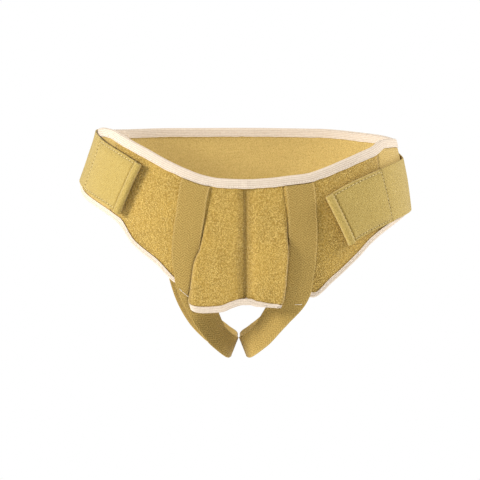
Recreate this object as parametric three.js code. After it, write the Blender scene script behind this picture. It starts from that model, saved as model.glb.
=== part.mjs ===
// Hernia belt in its worn form, in millimetres. The origin is the middle of the hips that it is worn on.
// +X runs to the wearer's left, -Y is the front and +Z is up. "Angle" is the bearing round the hips in
// degrees: 0 at the middle of the front, +90 at the wearer's left hip, 180 at the middle of the back.
import * as THREE from "three";

// The hips that the cloth is shaped round.
const HIP_WIDTH = 336;
const HIP_DEPTH = 242;
const FORM_HEIGHT = 280; // of the stretch of body that HIP_SECTIONS covers
const FORM_BOTTOM = -190;
const SQUARENESS = 2.4; // 2 makes the hips an ellipse

// The cloth body of the belt.
const FRONT_HEIGHT = 128; // from the top edge down to the hem, at the middle of the front
const FRONT_TOP = 8; // how high the top edge passes over the origin at the middle of the front
const BACK_RISE = 72; // the height that the top edge's shares below are of
const CLOTH = 2; // thickness of the loop cloth and of the elastic
const SIDE_SEAM_ANGLE = 60;
const CENTRE_SEAM_WIDTH = 8;
const SEAM_SINK = 0.6; // the stitched centre seam is this much thinner than the cloth
const LEG_FLARE = 7; // how far the lower edge stands off the hip where it flares most
const FLARE_HEIGHT = 60; // above the leg line, over which the flare fades away

// The bound edges.
const BINDING_THICK = 0.7;
const WAIST_BINDING_WIDTH = 9.5;
const LEG_BINDING_WIDTH = 5.6;

// The straps.
const LEG_STRAP_WIDTH = 30;
const LEG_STRAP_THICK = 1.4;
const CROTCH_DROP = 163; // from the origin down to the middle of the leg straps where they meet
const CROTCH_SIDE = -7.7; // the straps pass between the legs this far to the wearer's left
const STRAP_TAIL = 34; // length of each leg strap that is sewn on the back
const TAIL_ANGLE = 146;
const SIDE_STRAP_WIDTH = 55;
const SIDE_STRAP_THICK = 1.8;
const FOLD_LENGTH = 66; // how much of the strap's end is turned back over itself
const LIP_RADIUS = 3.2; // of the rolled grip at the turned end
const LIP_LIFT = 3.4; // how far the grip stands off the front

// The bottom of the front between the leg straps, which bulges and folds over the straps' inner edges.
const FLAP_LIFT = 9.2; // how far it stands off the legs along the fold

// Room between neighbours.
const FIT = 0.5; // between a binding and the cloth that it wraps
const LAYER = 0.6; // between a strap and what it lies on

// Shares of FORM_HEIGHT from the bottom, of HIP_WIDTH / 2, and of HIP_DEPTH / 2 to the front and the back.
const HIP_SECTIONS = [
  { up: 0.0, half: 0.89, front: 0.58, back: 0.74 },
  { up: 0.14, half: 0.935, front: 0.71, back: 0.83 },
  { up: 0.25, half: 0.96, front: 0.793, back: 0.926 },
  { up: 0.36, half: 0.982, front: 0.86, back: 0.992 },
  { up: 0.46, half: 0.997, front: 0.909, back: 1.025 },
  { up: 0.57, half: 1.0, front: 0.942, back: 1.025 },
  { up: 0.68, half: 0.988, front: 0.967, back: 0.992 },
  { up: 0.79, half: 0.958, front: 0.975, back: 0.926 },
  { up: 0.89, half: 0.917, front: 0.967, back: 0.86 },
  { up: 1.0, half: 0.887, front: 0.942, back: 0.826 },
];

// The top edge as shares of BACK_RISE over FRONT_TOP, the leg line as shares of FRONT_HEIGHT under it, and
// how far the lower edge flares as shares of LEG_FLARE.
const BELT_OUTLINE = [
  { angle: 0, rightTop: 0.0, leftTop: 0.0, rightLeg: 0.855, leftLeg: 0.86, rightFlare: 0, leftFlare: 0 },
  { angle: 12, rightTop: 0.012, leftTop: 0.02, rightLeg: 0.855, leftLeg: 0.86, rightFlare: 0, leftFlare: 0 },
  { angle: 20, rightTop: 0.055, leftTop: 0.05, rightLeg: 0.855, leftLeg: 0.86, rightFlare: 0, leftFlare: 0 },
  { angle: 28, rightTop: 0.148, leftTop: 0.082, rightLeg: 0.845, leftLeg: 0.895, rightFlare: 0, leftFlare: 0 },
  { angle: 36, rightTop: 0.272, leftTop: 0.17, rightLeg: 0.82, leftLeg: 0.93, rightFlare: 0, leftFlare: 0 },
  { angle: 44, rightTop: 0.42, leftTop: 0.285, rightLeg: 0.66, leftLeg: 0.795, rightFlare: 0, leftFlare: 0 },
  { angle: 52, rightTop: 0.555, leftTop: 0.4, rightLeg: 0.51, leftLeg: 0.62, rightFlare: 0.15, leftFlare: 0.05 },
  { angle: 57, rightTop: 0.637, leftTop: 0.467, rightLeg: 0.345, leftLeg: 0.5, rightFlare: 0.3, leftFlare: 0.1 },
  { angle: 64, rightTop: 0.73, leftTop: 0.583, rightLeg: 0.243, leftLeg: 0.39, rightFlare: 0.5, leftFlare: 0.15 },
  { angle: 75, rightTop: 0.775, leftTop: 0.615, rightLeg: 0.142, leftLeg: 0.285, rightFlare: 0.8, leftFlare: 0.2 },
  { angle: 90, rightTop: 0.78, leftTop: 0.64, rightLeg: 0.03, leftLeg: 0.2, rightFlare: 1.0, leftFlare: 0.2 },
  { angle: 112, rightTop: 0.82, leftTop: 0.75, rightLeg: 0.03, leftLeg: 0.12, rightFlare: 0.6, leftFlare: 0.1 },
  { angle: 140, rightTop: 0.87, leftTop: 0.86, rightLeg: 0.05, leftLeg: 0.07, rightFlare: 0.1, leftFlare: 0 },
  { angle: 180, rightTop: 0.88, leftTop: 0.88, rightLeg: 0.06, leftLeg: 0.06, rightFlare: 0, leftFlare: 0 },
];

// Where the leg straps run down the front: bearings of their middles, at shares of FRONT_HEIGHT below
// FRONT_TOP.
const LEG_STRAP_LINE = [
  { drop: 0.0, right: 23.8, left: 24.9 },
  { drop: 0.4, right: 28.8, left: 28.0 },
  { drop: 0.63, right: 30.6, left: 28.4 },
  { drop: 0.8, right: 30.3, left: 28.3 },
  { drop: 0.93, right: 28.9, left: 26.9 },
  { drop: 1.0, right: 27.5, left: 25.2 },
];

// How the front rises between the straps at its middle and along its folds, as shares of FLAP_LIFT, and how
// far it laps over the straps' inner edges, as shares of LEG_STRAP_WIDTH, at shares of FRONT_HEIGHT below
// FRONT_TOP.
const FLAP_RISE = [
  { drop: 0.0, middle: 0.0, fold: 0.0, rightLap: 0.0, leftLap: 0.0 },
  { drop: 0.22, middle: 0.1, fold: 0.0, rightLap: 0.0, leftLap: 0.0 },
  { drop: 0.4, middle: 0.24, fold: 0.25, rightLap: 0.0, leftLap: 0.0 },
  { drop: 0.54, middle: 0.38, fold: 0.9, rightLap: 0.0, leftLap: 0.0 },
  { drop: 0.58, middle: 0.43, fold: 1.0, rightLap: 0.07, leftLap: 0.0 },
  { drop: 0.65, middle: 0.5, fold: 1.0, rightLap: 0.21, leftLap: 0.0 },
  { drop: 0.83, middle: 0.63, fold: 1.0, rightLap: 0.46, leftLap: 0.05 },
  { drop: 1.0, middle: 0.68, fold: 1.0, rightLap: 0.77, leftLap: 0.18 },
];

// The fold's section, from the flap to the cloth under the strap. Rest and raised are places out from the
// strap's inner edge as shares of LEG_STRAP_WIDTH, with the cloth flat and with it raised. Lap is how much
// of the lap moves a place, and rise is its share of the lift.
const FLAP_FOLD = [
  { rest: -0.56, raised: -0.4, lap: 0.2, rise: 0.84 },
  { rest: -0.36, raised: -0.18, lap: 0.6, rise: 0.95 },
  { rest: -0.24, raised: -0.1, lap: 0.9, rise: 1.0 },
  { rest: -0.185, raised: -0.05, lap: 1.0, rise: 0.8 },
  { rest: -0.15, raised: -0.065, lap: 0.92, rise: 0.64 },
  { rest: -0.115, raised: -0.1, lap: 0.0, rise: 0.62 },
  { rest: -0.085, raised: -0.15, lap: 0.0, rise: 0.33 },
  { rest: -0.055, raised: -0.125, lap: 0.0, rise: 0.08 },
  { rest: 0.0, raised: 0.0, lap: 0.0, rise: 0.0 },
];
const CORNER_COLUMN = 2; // the row of FLAP_FOLD where the hem's binding ends

// The hem's lower edge, from the middle of the front to the fold, as shares of FRONT_HEIGHT.
const FLAP_HEM = [
  { out: 0.0, right: 0.975, left: 0.975 },
  { out: 0.25, right: 0.994, left: 0.986 },
  { out: 0.55, right: 1.027, left: 0.989 },
  { out: 0.75, right: 1.033, left: 0.991 },
  { out: 0.9, right: 1.018, left: 0.993 },
  { out: 1.0, right: 0.987, left: 0.992 },
];

// The free run of a leg strap, from the front to the back: its middle as shares of HIP_WIDTH / 2 out from
// the crotch, of HIP_DEPTH / 2 towards the back and of CROTCH_DROP down, the way that its face turns, and
// how wide it stays between the legs as a share of LEG_STRAP_WIDTH.
const LEG_STRAP_RUN = [
  { right: 0.203, left: 0.232, back: -0.755, down: 0.797, faceOut: -0.42, faceBack: -0.86, faceDown: 0.0, wide: 1.0 },
  { right: 0.134, left: 0.144, back: -0.69, down: 0.918, faceOut: -0.64, faceBack: -0.7, faceDown: -0.15, wide: 0.97 },
  { right: 0.07, left: 0.073, back: -0.62, down: 0.982, faceOut: -0.82, faceBack: -0.5, faceDown: 0.0, wide: 0.88 },
  { right: 0.036, left: 0.036, back: -0.53, down: 0.998, faceOut: -0.92, faceBack: -0.15, faceDown: 0.34, wide: 0.74 },
  { right: 0.036, left: 0.036, back: -0.34, down: 0.998, faceOut: -0.92, faceBack: 0.0, faceDown: 0.36, wide: 0.7 },
  { right: 0.04, left: 0.04, back: -0.04, down: 1.0, faceOut: -0.9, faceBack: 0.05, faceDown: 0.42, wide: 0.72 },
  { right: 0.065, left: 0.065, back: 0.25, down: 0.985, faceOut: -0.75, faceBack: 0.25, faceDown: 0.6, wide: 0.85 },
  { right: 0.15, left: 0.15, back: 0.49, down: 0.935, faceOut: -0.42, faceBack: 0.45, faceDown: 0.78, wide: 1.0 },
  { right: 0.255, left: 0.255, back: 0.7, down: 0.835, faceOut: -0.1, faceBack: 0.68, faceDown: 0.72, wide: 1.0 },
  { right: 0.345, left: 0.345, back: 0.87, down: 0.67, faceOut: 0.15, faceBack: 0.88, faceDown: 0.44, wide: 1.0 },
  { right: 0.405, left: 0.405, back: 0.965, down: 0.42, faceOut: 0.3, faceBack: 0.93, faceDown: 0.16, wide: 1.0 },
];

// The middle lines of the side straps, from the grip to the sewn end: bearings, and heights as shares of
// BACK_RISE over FRONT_TOP.
const SIDE_STRAP_LINE = [
  { rightAngle: 50.2, rightUp: -0.14, leftAngle: 41.0, leftUp: -0.58 },
  { rightAngle: 60.5, rightUp: 0.06, leftAngle: 52.5, leftUp: -0.355 },
  { rightAngle: 73, rightUp: 0.245, leftAngle: 64, leftUp: -0.19 },
  { rightAngle: 86, rightUp: 0.37, leftAngle: 77, leftUp: -0.075 },
  { rightAngle: 103, rightUp: 0.425, leftAngle: 94, leftUp: 0.02 },
  { rightAngle: 121, rightUp: 0.43, leftAngle: 121, leftUp: 0.29 },
];

// Colours.
const LOOP_COLOUR = "#c9a95a";
const ELASTIC_COLOUR = "#cdb573";
const WEBBING_COLOUR = "#b0914f";
const BINDING_COLOUR = "#f3e9dd";

const degrees = THREE.MathUtils.radToDeg;
const radians = THREE.MathUtils.degToRad;
const mix = THREE.MathUtils.lerp;

// A smooth curve through one column of a table, read by another column. It never passes beyond the rows
// on either side, and is level at both ends.
function curveOf(rows, key, value) {
  const last = rows.length - 1;
  const climb = (i) => (rows[i + 1][value] - rows[i][value]) / (rows[i + 1][key] - rows[i][key]);
  const slopes = rows.map((_, i) => {
    if (i === 0 || i === last) return 0;
    const [before, after] = [climb(i - 1), climb(i)];
    return before * after > 0 ? (2 * before * after) / (before + after) : 0;
  });
  return (x) => {
    const inside = THREE.MathUtils.clamp(x, rows[0][key], rows[last][key]);
    let i = 0;
    while (i < last - 1 && inside > rows[i + 1][key]) i += 1;
    const width = rows[i + 1][key] - rows[i][key];
    const t = (inside - rows[i][key]) / width;
    const rise = t * t * (3 - 2 * t);
    const start = t * (1 - t) * (1 - t);
    const end = t * t * (t - 1);
    return mix(rows[i][value], rows[i + 1][value], rise) + width * (start * slopes[i] + end * slopes[i + 1]);
  };
}

// The hip form

const halfWidth = curveOf(HIP_SECTIONS, "up", "half");
const frontDepth = curveOf(HIP_SECTIONS, "up", "front");
const backDepth = curveOf(HIP_SECTIONS, "up", "back");

function formPoint(angle, z) {
  const up = (z - FORM_BOTTOM) / FORM_HEIGHT;
  const sine = Math.sin(radians(angle));
  const cosine = Math.cos(radians(angle));
  const across = (halfWidth(up) * HIP_WIDTH) / 2;
  const deep = ((cosine > 0 ? frontDepth(up) : backDepth(up)) * HIP_DEPTH) / 2;
  const sum = Math.abs(sine / across) ** SQUARENESS + Math.abs(cosine / deep) ** SQUARENESS;
  const reach = sum ** (-1 / SQUARENESS);
  return new THREE.Vector3(reach * sine, -reach * cosine, z);
}

function outward(angle, z) {
  const round = formPoint(angle + 0.5, z).sub(formPoint(angle - 0.5, z));
  const rise = formPoint(angle, z + 1).sub(formPoint(angle, z - 1));
  return round.cross(rise).normalize();
}

// The point that lies off the form by a distance.
function onForm(angle, z, off) {
  return formPoint(angle, z).addScaledVector(outward(angle, z), off);
}

// The bearing and height of a point.
function locate(point) {
  return { angle: degrees(Math.atan2(point.x, -point.y)), z: point.z };
}

// The degrees that a millimetre takes up round the form.
function degreesPerMm(angle, z) {
  return 1 / formPoint(angle + 0.5, z).distanceTo(formPoint(angle - 0.5, z));
}

// The belt's outline on the form

const sideOf = (angle) => (angle < 0 ? "right" : "left");
const signOf = (side) => (side === "right" ? -1 : 1);
const bySide = (rows, key, ending) => ({
  right: curveOf(rows, key, "right" + ending),
  left: curveOf(rows, key, "left" + ending),
});
const topShare = bySide(BELT_OUTLINE, "angle", "Top");
const legShare = bySide(BELT_OUTLINE, "angle", "Leg");
const flareShare = bySide(BELT_OUTLINE, "angle", "Flare");
const dropTo = (share) => FRONT_TOP - FRONT_HEIGHT * share;
const dropOf = (z) => (FRONT_TOP - z) / FRONT_HEIGHT;
const topEdge = (angle) => FRONT_TOP + BACK_RISE * topShare[sideOf(angle)](Math.abs(angle));
const legEdge = (angle) => dropTo(legShare[sideOf(angle)](Math.abs(angle)));

// The cloth's inner face, or a point off it.
function onBelt(angle, z, off) {
  const high = THREE.MathUtils.clamp((z - legEdge(angle)) / FLARE_HEIGHT, 0, 1);
  const flare = LEG_FLARE * flareShare[sideOf(angle)](Math.abs(angle)) * (1 - high) ** 2;
  return onForm(angle, z, off + flare);
}

// How much longer a distance square to an edge becomes when it is measured upright.
function upright(edge, angle) {
  const run = formPoint(angle + 1, edge(angle)).distanceTo(formPoint(angle - 1, edge(angle)));
  return Math.hypot(1, (edge(angle + 1) - edge(angle - 1)) / run);
}

// Solids from grids

// A closed solid between two grids of points of the same size, or a ring where it closes on itself.
function shell(inner, outer, ring = false) {
  const rows = inner.length;
  const columns = inner[0].length;
  const points = [...inner.flat(), ...outer.flat()];
  const faces = [];
  const id = (layer, i, j) => layer * rows * columns + (i % rows) * columns + j;
  const quad = (a, b, c, d) => faces.push(a, b, c, a, c, d);
  const spans = ring ? rows : rows - 1;
  for (let i = 0; i < spans; i += 1) {
    for (let j = 0; j < columns - 1; j += 1) {
      quad(id(1, i, j), id(1, i + 1, j), id(1, i + 1, j + 1), id(1, i, j + 1));
      quad(id(0, i, j), id(0, i, j + 1), id(0, i + 1, j + 1), id(0, i + 1, j));
    }
    quad(id(0, i, 0), id(0, i + 1, 0), id(1, i + 1, 0), id(1, i, 0));
    quad(id(1, i, columns - 1), id(1, i + 1, columns - 1), id(0, i + 1, columns - 1), id(0, i, columns - 1));
  }
  if (!ring) {
    for (let j = 0; j < columns - 1; j += 1) {
      quad(id(0, 0, j), id(1, 0, j), id(1, 0, j + 1), id(0, 0, j + 1));
      quad(id(1, rows - 1, j), id(0, rows - 1, j), id(0, rows - 1, j + 1), id(1, rows - 1, j + 1));
    }
  }
  const volume = (k) => points[faces[k]].dot(points[faces[k + 1]].clone().cross(points[faces[k + 2]]));
  const total = faces.reduce((sum, _, k) => (k % 3 ? sum : sum + volume(k)), 0);
  if (total < 0) faces.reverse();
  return new THREE.BufferGeometry().setFromPoints(points).setIndex(faces);
}

function steps(from, to, count) {
  return Array.from({ length: count + 1 }, (_, i) => mix(from, to, i / count));
}

const range = (from, to) => Array.from({ length: to - from + 1 }, (_, i) => from + i);

const belt = new THREE.Group();

function add(name, geometry, color, roughness) {
  const material = new THREE.MeshStandardMaterial({ color, roughness, metalness: 0 });
  const mesh = new THREE.Mesh(geometry, material);
  mesh.name = name;
  belt.add(mesh);
}

// The front, one half at a time

const strapAngle = bySide(LEG_STRAP_LINE, "drop", "");
const flapLap = bySide(FLAP_RISE, "drop", "Lap");
const foldLift = curveOf(FLAP_RISE, "drop", "fold");
const middleLift = curveOf(FLAP_RISE, "drop", "middle");
const hemShare = bySide(FLAP_HEM, "out", "");
const strapMiddle = (side, z) => strapAngle[side](dropOf(z));
const seamHalfAngle = (CENTRE_SEAM_WIDTH / 2 + FIT) * degreesPerMm(0, FRONT_TOP);

const FLAP_COLUMNS = 5;
const WING_COLUMNS = 9;
const FRONT_ROWS = 16;
const FOLD_START = FLAP_COLUMNS;
const FOLD_END = FLAP_COLUMNS + FLAP_FOLD.length - 1;
const LAST_COLUMN = FOLD_END + WING_COLUMNS;

// The middle of the cloth's thickness at a height, as places out from the strap's inner edge and heights
// off the form, from the centre seam to the side seam.
function frontSection(side, z) {
  const middle = strapMiddle(side, z);
  const scale = degreesPerMm(middle, z);
  const edge = middle - (LEG_STRAP_WIDTH / 2) * scale;
  const raised = foldLift(dropOf(z));
  const lap = LEG_STRAP_WIDTH * flapLap[side](dropOf(z));
  const fold = FLAP_FOLD.map((row) => ({
    out: LEG_STRAP_WIDTH * mix(row.rest, row.raised, raised) + lap * row.lap,
    off: FLAP_LIFT * raised * row.rise,
  }));
  const flap = steps(0, 1, FLAP_COLUMNS).map((t) => ({
    out: mix((seamHalfAngle - edge) / scale, fold[0].out, t),
    off: mix(FLAP_LIFT * middleLift(dropOf(z)), fold[0].off, t * t * (3 - 2 * t)),
  }));
  const seam = (SIDE_SEAM_ANGLE - edge) / scale - LAYER / 2;
  const wing = steps(0, 1, WING_COLUMNS).map((t) => ({ out: mix(0, seam, t), off: 0 }));
  return { edge, scale, places: [...flap.slice(0, -1), ...fold, ...wing.slice(1)] };
}

const frontAngle = (side, column, z) => {
  const { edge, scale, places } = frontSection(side, z);
  return signOf(side) * (edge + places[column].out * scale);
};

// A point of the front, off the middle of the cloth along its own normal.
function onFront(side, column, z, off) {
  const { edge, scale, places } = frontSection(side, z);
  const here = places[column];
  const way = new THREE.Vector2();
  for (const [a, b] of [[column - 1, column], [column, column + 1]]) {
    if (a < 0 || b > LAST_COLUMN) continue;
    const step = new THREE.Vector2(places[b].out - places[a].out, places[b].off - places[a].off);
    way.add(step.normalize());
  }
  way.normalize();
  const out = here.out - way.y * off;
  return onBelt(signOf(side) * (edge + out * scale), z, CLOTH / 2 + here.off + way.x * off);
}

// The height of the front's bottom edge on a column, or of a line inset from it.
function frontBottom(side, column, inset) {
  const corner = FOLD_START + CORNER_COLUMN + 1;
  if (column <= corner) return dropTo(hemShare[side](column / corner)) + inset;
  if (column < FOLD_END) {
    const inner = frontBottom(side, corner, inset);
    return mix(inner, frontBottom(side, FOLD_END, inset), (column - corner) / (FOLD_END - corner));
  }
  let z = dropTo(0.5);
  for (let turn = 0; turn < 40; turn += 1) {
    const angle = frontAngle(side, column, z);
    z = mix(z, legEdge(angle) + inset * upright(legEdge, angle), 0.5);
  }
  return z;
}

const topInset = (angle, inset) => topEdge(angle) - inset * upright(topEdge, angle);
const INSET = BINDING_THICK + 2 * FIT; // of the cloth's raw edge inside its binding

function frontPanel(side) {
  const columns = range(0, LAST_COLUMN);
  const grid = (off) =>
    columns.map((column) => {
      const top = topInset(frontAngle(side, column, FRONT_TOP), INSET);
      const bottom = frontBottom(side, column, INSET);
      return steps(0, 1, FRONT_ROWS).map((t) => onFront(side, column, mix(top, bottom, t), off));
    });
  return shell(grid(-CLOTH / 2), grid(CLOTH / 2));
}

const seamLift = (z) => FLAP_LIFT * middleLift(dropOf(z));

function centreSeam() {
  const half = seamHalfAngle - FIT * degreesPerMm(0, FRONT_TOP);
  const bottom = frontBottom("right", 0, INSET);
  const grid = (off) =>
    steps(-half, half, 2).map((angle) =>
      steps(0, 1, FRONT_ROWS).map((t) => {
        const z = mix(topInset(angle, INSET), bottom, t);
        return onBelt(angle, z, off + seamLift(z));
      }),
    );
  return shell(grid(0), grid(CLOTH - SEAM_SINK));
}

// The back

const BACK_COLUMNS = 46;
const backAngles = steps(SIDE_SEAM_ANGLE, 360 - SIDE_SEAM_ANGLE, BACK_COLUMNS).map((angle) =>
  angle > 180 ? angle - 360 : angle,
);

function backPanel() {
  const grid = (off) =>
    backAngles.map((angle) => {
      const bottom = legEdge(angle) + INSET * upright(legEdge, angle);
      return steps(0, 1, 5).map((t) => onBelt(angle, mix(topInset(angle, INSET), bottom, t), off));
    });
  return shell(grid(0), grid(CLOTH));
}

// Bindings

// The folded tape's two walls: off is the distance from the middle of the cloth, and into the distance
// from the folded edge. Both run from the inside of the belt, over the edge, to the outside.
function tapeWalls(width) {
  const near = CLOTH / 2 + FIT;
  const far = near + BINDING_THICK;
  return {
    inner: [
      { off: -near, into: width },
      { off: -near, into: BINDING_THICK + FIT },
      { off: 0, into: BINDING_THICK },
      { off: near, into: BINDING_THICK + FIT },
      { off: near, into: width },
    ],
    outer: [
      { off: -far, into: width },
      { off: -far, into: BINDING_THICK },
      { off: 0, into: 0 },
      { off: far, into: BINDING_THICK },
      { off: far, into: width },
    ],
  };
}

// A tape along stations, which are functions from a place in the tape's section to a point.
function tape(stations, width, ring = false) {
  const walls = tapeWalls(width);
  const wall = (name) => stations.map((station) => walls[name].map(({ into, off }) => station(into, off)));
  return shell(wall("inner"), wall("outer"), ring);
}

const waistStation = (angle) => (into, off) => onBelt(angle, topInset(angle, into), CLOTH / 2 + off);
const legStation = (angle) => (into, off) =>
  onBelt(angle, legEdge(angle) + into * upright(legEdge, angle), CLOTH / 2 + off);
const hemStation = (side, column) => (into, off) =>
  onFront(side, column, frontBottom(side, column, 0) + into, off);

const wingColumns = range(FOLD_END, LAST_COLUMN);
const mirrored = (list) => [...list].reverse();

function waistBinding() {
  const columns = [...range(0, FOLD_START), FOLD_START + CORNER_COLUMN, ...wingColumns.slice(0, -1)];
  const front = (side) => columns.map((column) => frontAngle(side, column, FRONT_TOP));
  const angles = [...mirrored(front("right")), ...front("left"), ...backAngles];
  return tape(angles.map(waistStation), WAIST_BINDING_WIDTH, true);
}

function legBinding() {
  const columns = wingColumns.slice(1, -1); // from under the leg strap to beside the side seam
  const front = (side) => columns.map((column) => frontAngle(side, column, frontBottom(side, column, 0)));
  const angles = [...front("left"), ...backAngles, ...mirrored(front("right"))];
  return tape(angles.map(legStation), LEG_BINDING_WIDTH);
}

function hemBinding() {
  const columns = range(0, FOLD_START + CORNER_COLUMN);
  const half = (side) => columns.map((column) => hemStation(side, column));
  return tape([...mirrored(half("right")), ...half("left")], LEG_BINDING_WIDTH);
}

// Leg straps

const OVER_CLOTH = CLOTH + LAYER;
const OVER_BINDING = CLOTH + FIT + BINDING_THICK + LAYER;

const RAMP_END = 0.8; // share of the strap's run down the front by which it is high enough to pass the binding

function legStrapKnots(side) {
  const sign = signOf(side);
  const knot = (angle, z, off, hold) => ({ point: onBelt(angle, z, off), face: outward(angle, z), hold, wide: 1 });
  const startAngle = sign * strapMiddle(side, FRONT_TOP);
  const startZ = topInset(startAngle, WAIST_BINDING_WIDTH + LAYER);
  const leaveZ = legEdge(sign * strapMiddle(side, dropTo(0.9)));
  const front = steps(0, 1, 6).map((t) => {
    const z = mix(startZ, leaveZ, t);
    return knot(sign * strapMiddle(side, z), z, mix(OVER_CLOTH, OVER_BINDING, Math.min(1, t / RAMP_END) ** 4), 1);
  });
  const run = LEG_STRAP_RUN.map((row) => ({
    point: new THREE.Vector3(
      CROTCH_SIDE + (sign * row[side] * HIP_WIDTH) / 2,
      (row.back * HIP_DEPTH) / 2,
      -row.down * CROTCH_DROP,
    ),
    face: new THREE.Vector3(sign * row.faceOut, row.faceBack, -row.faceDown),
    hold: 0,
    wide: row.wide,
  }));
  const low = legEdge(sign * TAIL_ANGLE);
  const tail = steps(0, 1, 2).map((t) => knot(sign * TAIL_ANGLE, mix(low, low + STRAP_TAIL, t), OVER_BINDING, 1));
  return [...front, ...run, ...tail];
}

const STRAP_SPANS = 64;
const SLANT_REACH = 0.06; // share of the strap's length over which its top end follows the waist binding

function legStrap(side) {
  const knots = legStrapKnots(side);
  const middle = new THREE.CatmullRomCurve3(knots.map((k) => k.point), false, "centripetal");
  const faces = new THREE.CatmullRomCurve3(knots.map((k) => k.face), false, "catmullrom", 0.5);
  const inner = [];
  const outer = [];
  for (const share of steps(0, 1, STRAP_SPANS)) {
    const t = middle.getUtoTmapping(share);
    const centre = middle.getPoint(t);
    const along = middle.getTangent(t);
    const across = along.clone().cross(faces.getPoint(t)).normalize();
    const face = across.clone().cross(along).normalize();
    const place = t * (knots.length - 1);
    const k = Math.min(knots.length - 2, Math.floor(place));
    const hold = mix(knots[k].hold, knots[k + 1].hold, place - k);
    const half = (mix(knots[k].wide, knots[k + 1].wide, place - k) * LEG_STRAP_WIDTH) / 2;
    const foot = locate(centre);
    const off = centre.clone().sub(onBelt(foot.angle, foot.z, 0)).dot(outward(foot.angle, foot.z));
    const slant = Math.max(0, 1 - share / SLANT_REACH);
    const low = [];
    const high = [];
    for (const w of steps(-half, half, 3)) {
      const flat = centre.clone().addScaledVector(across, w);
      const spot = locate(flat);
      spot.z = mix(spot.z, topInset(spot.angle, WAIST_BINDING_WIDTH + LAYER), slant);
      const out = face.clone().lerp(outward(spot.angle, spot.z), hold).normalize();
      const point = flat.lerp(onBelt(spot.angle, spot.z, off), hold);
      low.push(point);
      high.push(point.clone().addScaledVector(out, LEG_STRAP_THICK));
    }
    inner.push(low);
    outer.push(high);
  }
  return shell(inner, outer);
}

// Side straps with their turned-back grips

// Heights of the strap's two faces over its base, at a distance from the grip's tip.
function strapProfile(length) {
  const r = LIP_RADIUS;
  const double = 2 * SIDE_STRAP_THICK;
  const curl = (s) => LIP_LIFT * Math.max(0, 1 - s / (FOLD_LENGTH / 2)) ** 2;
  const round = [4, 25, 50, 75, 100].map((turn) => {
    const s = r * (1 - Math.cos(radians(turn)));
    const half = r * Math.sin(radians(turn));
    return { s, low: curl(s) + r - half, high: curl(s) + r + half };
  });
  const flat = (s, thick) => ({ s, low: curl(s), high: curl(s) + thick });
  return [
    ...round,
    flat(1.75 * r, 1.75 * r),
    ...steps(2.4 * r, FOLD_LENGTH, 8).map((s) => flat(s, double)),
    ...steps(FOLD_LENGTH + 0.6, length, 16).map((s) => flat(s, SIDE_STRAP_THICK)),
  ];
}

function sideStrap(side) {
  const sign = signOf(side);
  const line = new THREE.SplineCurve(
    SIDE_STRAP_LINE.map(
      (row) => new THREE.Vector2(sign * row[side + "Angle"], FRONT_TOP + BACK_RISE * row[side + "Up"]),
    ),
  );
  const path = new THREE.CatmullRomCurve3(line.getPoints(40).map((p) => onBelt(p.x, p.y, 0)));
  const length = path.getLength();
  const rows = strapProfile(length);
  const wall = (name) =>
    rows.map((row) => {
      const centre = path.getPointAt(row.s / length);
      const foot = locate(centre);
      const across = path.getTangentAt(row.s / length).cross(outward(foot.angle, foot.z)).normalize();
      const base = mix(OVER_CLOTH, OVER_BINDING, Math.min(1, row.s / FOLD_LENGTH));
      return steps(-SIDE_STRAP_WIDTH / 2, SIDE_STRAP_WIDTH / 2, 4).map((w) => {
        const spot = locate(centre.clone().addScaledVector(across, w));
        return onBelt(spot.angle, spot.z, base + row[name]);
      });
    });
  return shell(wall("low"), wall("high"));
}

add("front_panel_right", frontPanel("right"), LOOP_COLOUR, 0.95);
add("front_panel_left", frontPanel("left"), LOOP_COLOUR, 0.95);
add("centre_seam", centreSeam(), LOOP_COLOUR, 0.95);
add("back_panel", backPanel(), ELASTIC_COLOUR, 0.85);
add("waist_binding", waistBinding(), BINDING_COLOUR, 0.7);
add("hem_binding", hemBinding(), BINDING_COLOUR, 0.7);
add("leg_binding", legBinding(), BINDING_COLOUR, 0.7);
add("leg_strap_right", legStrap("right"), WEBBING_COLOUR, 0.8);
add("leg_strap_left", legStrap("left"), WEBBING_COLOUR, 0.8);
add("side_strap_right", sideStrap("right"), ELASTIC_COLOUR, 0.8);
add("side_strap_left", sideStrap("left"), ELASTIC_COLOUR, 0.8);

export default belt;
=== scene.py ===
"""Hernia belt in its worn form: a loop-cloth front, an elastic back, two leg straps and two side straps.

Sizes are in millimetres and become metres when a mesh is made. +X runs to the wearer's left, -Y is the
front and +Z is up. An angle is a bearing round the hips in degrees: 0 at the middle of the front, +90 at
the wearer's left hip and 180 at the middle of the back.
"""
import math

import bpy
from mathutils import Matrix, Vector, noise

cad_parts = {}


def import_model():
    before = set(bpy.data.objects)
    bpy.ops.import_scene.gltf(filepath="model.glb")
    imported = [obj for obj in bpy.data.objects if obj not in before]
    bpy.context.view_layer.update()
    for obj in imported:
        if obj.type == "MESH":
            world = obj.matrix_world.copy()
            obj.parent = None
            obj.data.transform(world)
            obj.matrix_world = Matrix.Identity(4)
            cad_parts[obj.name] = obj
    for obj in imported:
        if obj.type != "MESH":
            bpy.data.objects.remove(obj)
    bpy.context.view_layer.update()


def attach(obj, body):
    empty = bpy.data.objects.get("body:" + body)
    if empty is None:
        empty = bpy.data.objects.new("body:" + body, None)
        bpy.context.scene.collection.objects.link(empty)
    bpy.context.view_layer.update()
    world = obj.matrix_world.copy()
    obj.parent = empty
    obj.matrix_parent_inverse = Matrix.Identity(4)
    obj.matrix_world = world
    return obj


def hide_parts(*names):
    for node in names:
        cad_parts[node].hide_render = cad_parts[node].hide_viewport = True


MM = 0.001

# The hips that the cloth is shaped round.
HIP_WIDTH = 336
HIP_DEPTH = 242
FORM_HEIGHT = 280
FORM_BOTTOM = -190
SQUARENESS = 2.4

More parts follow.
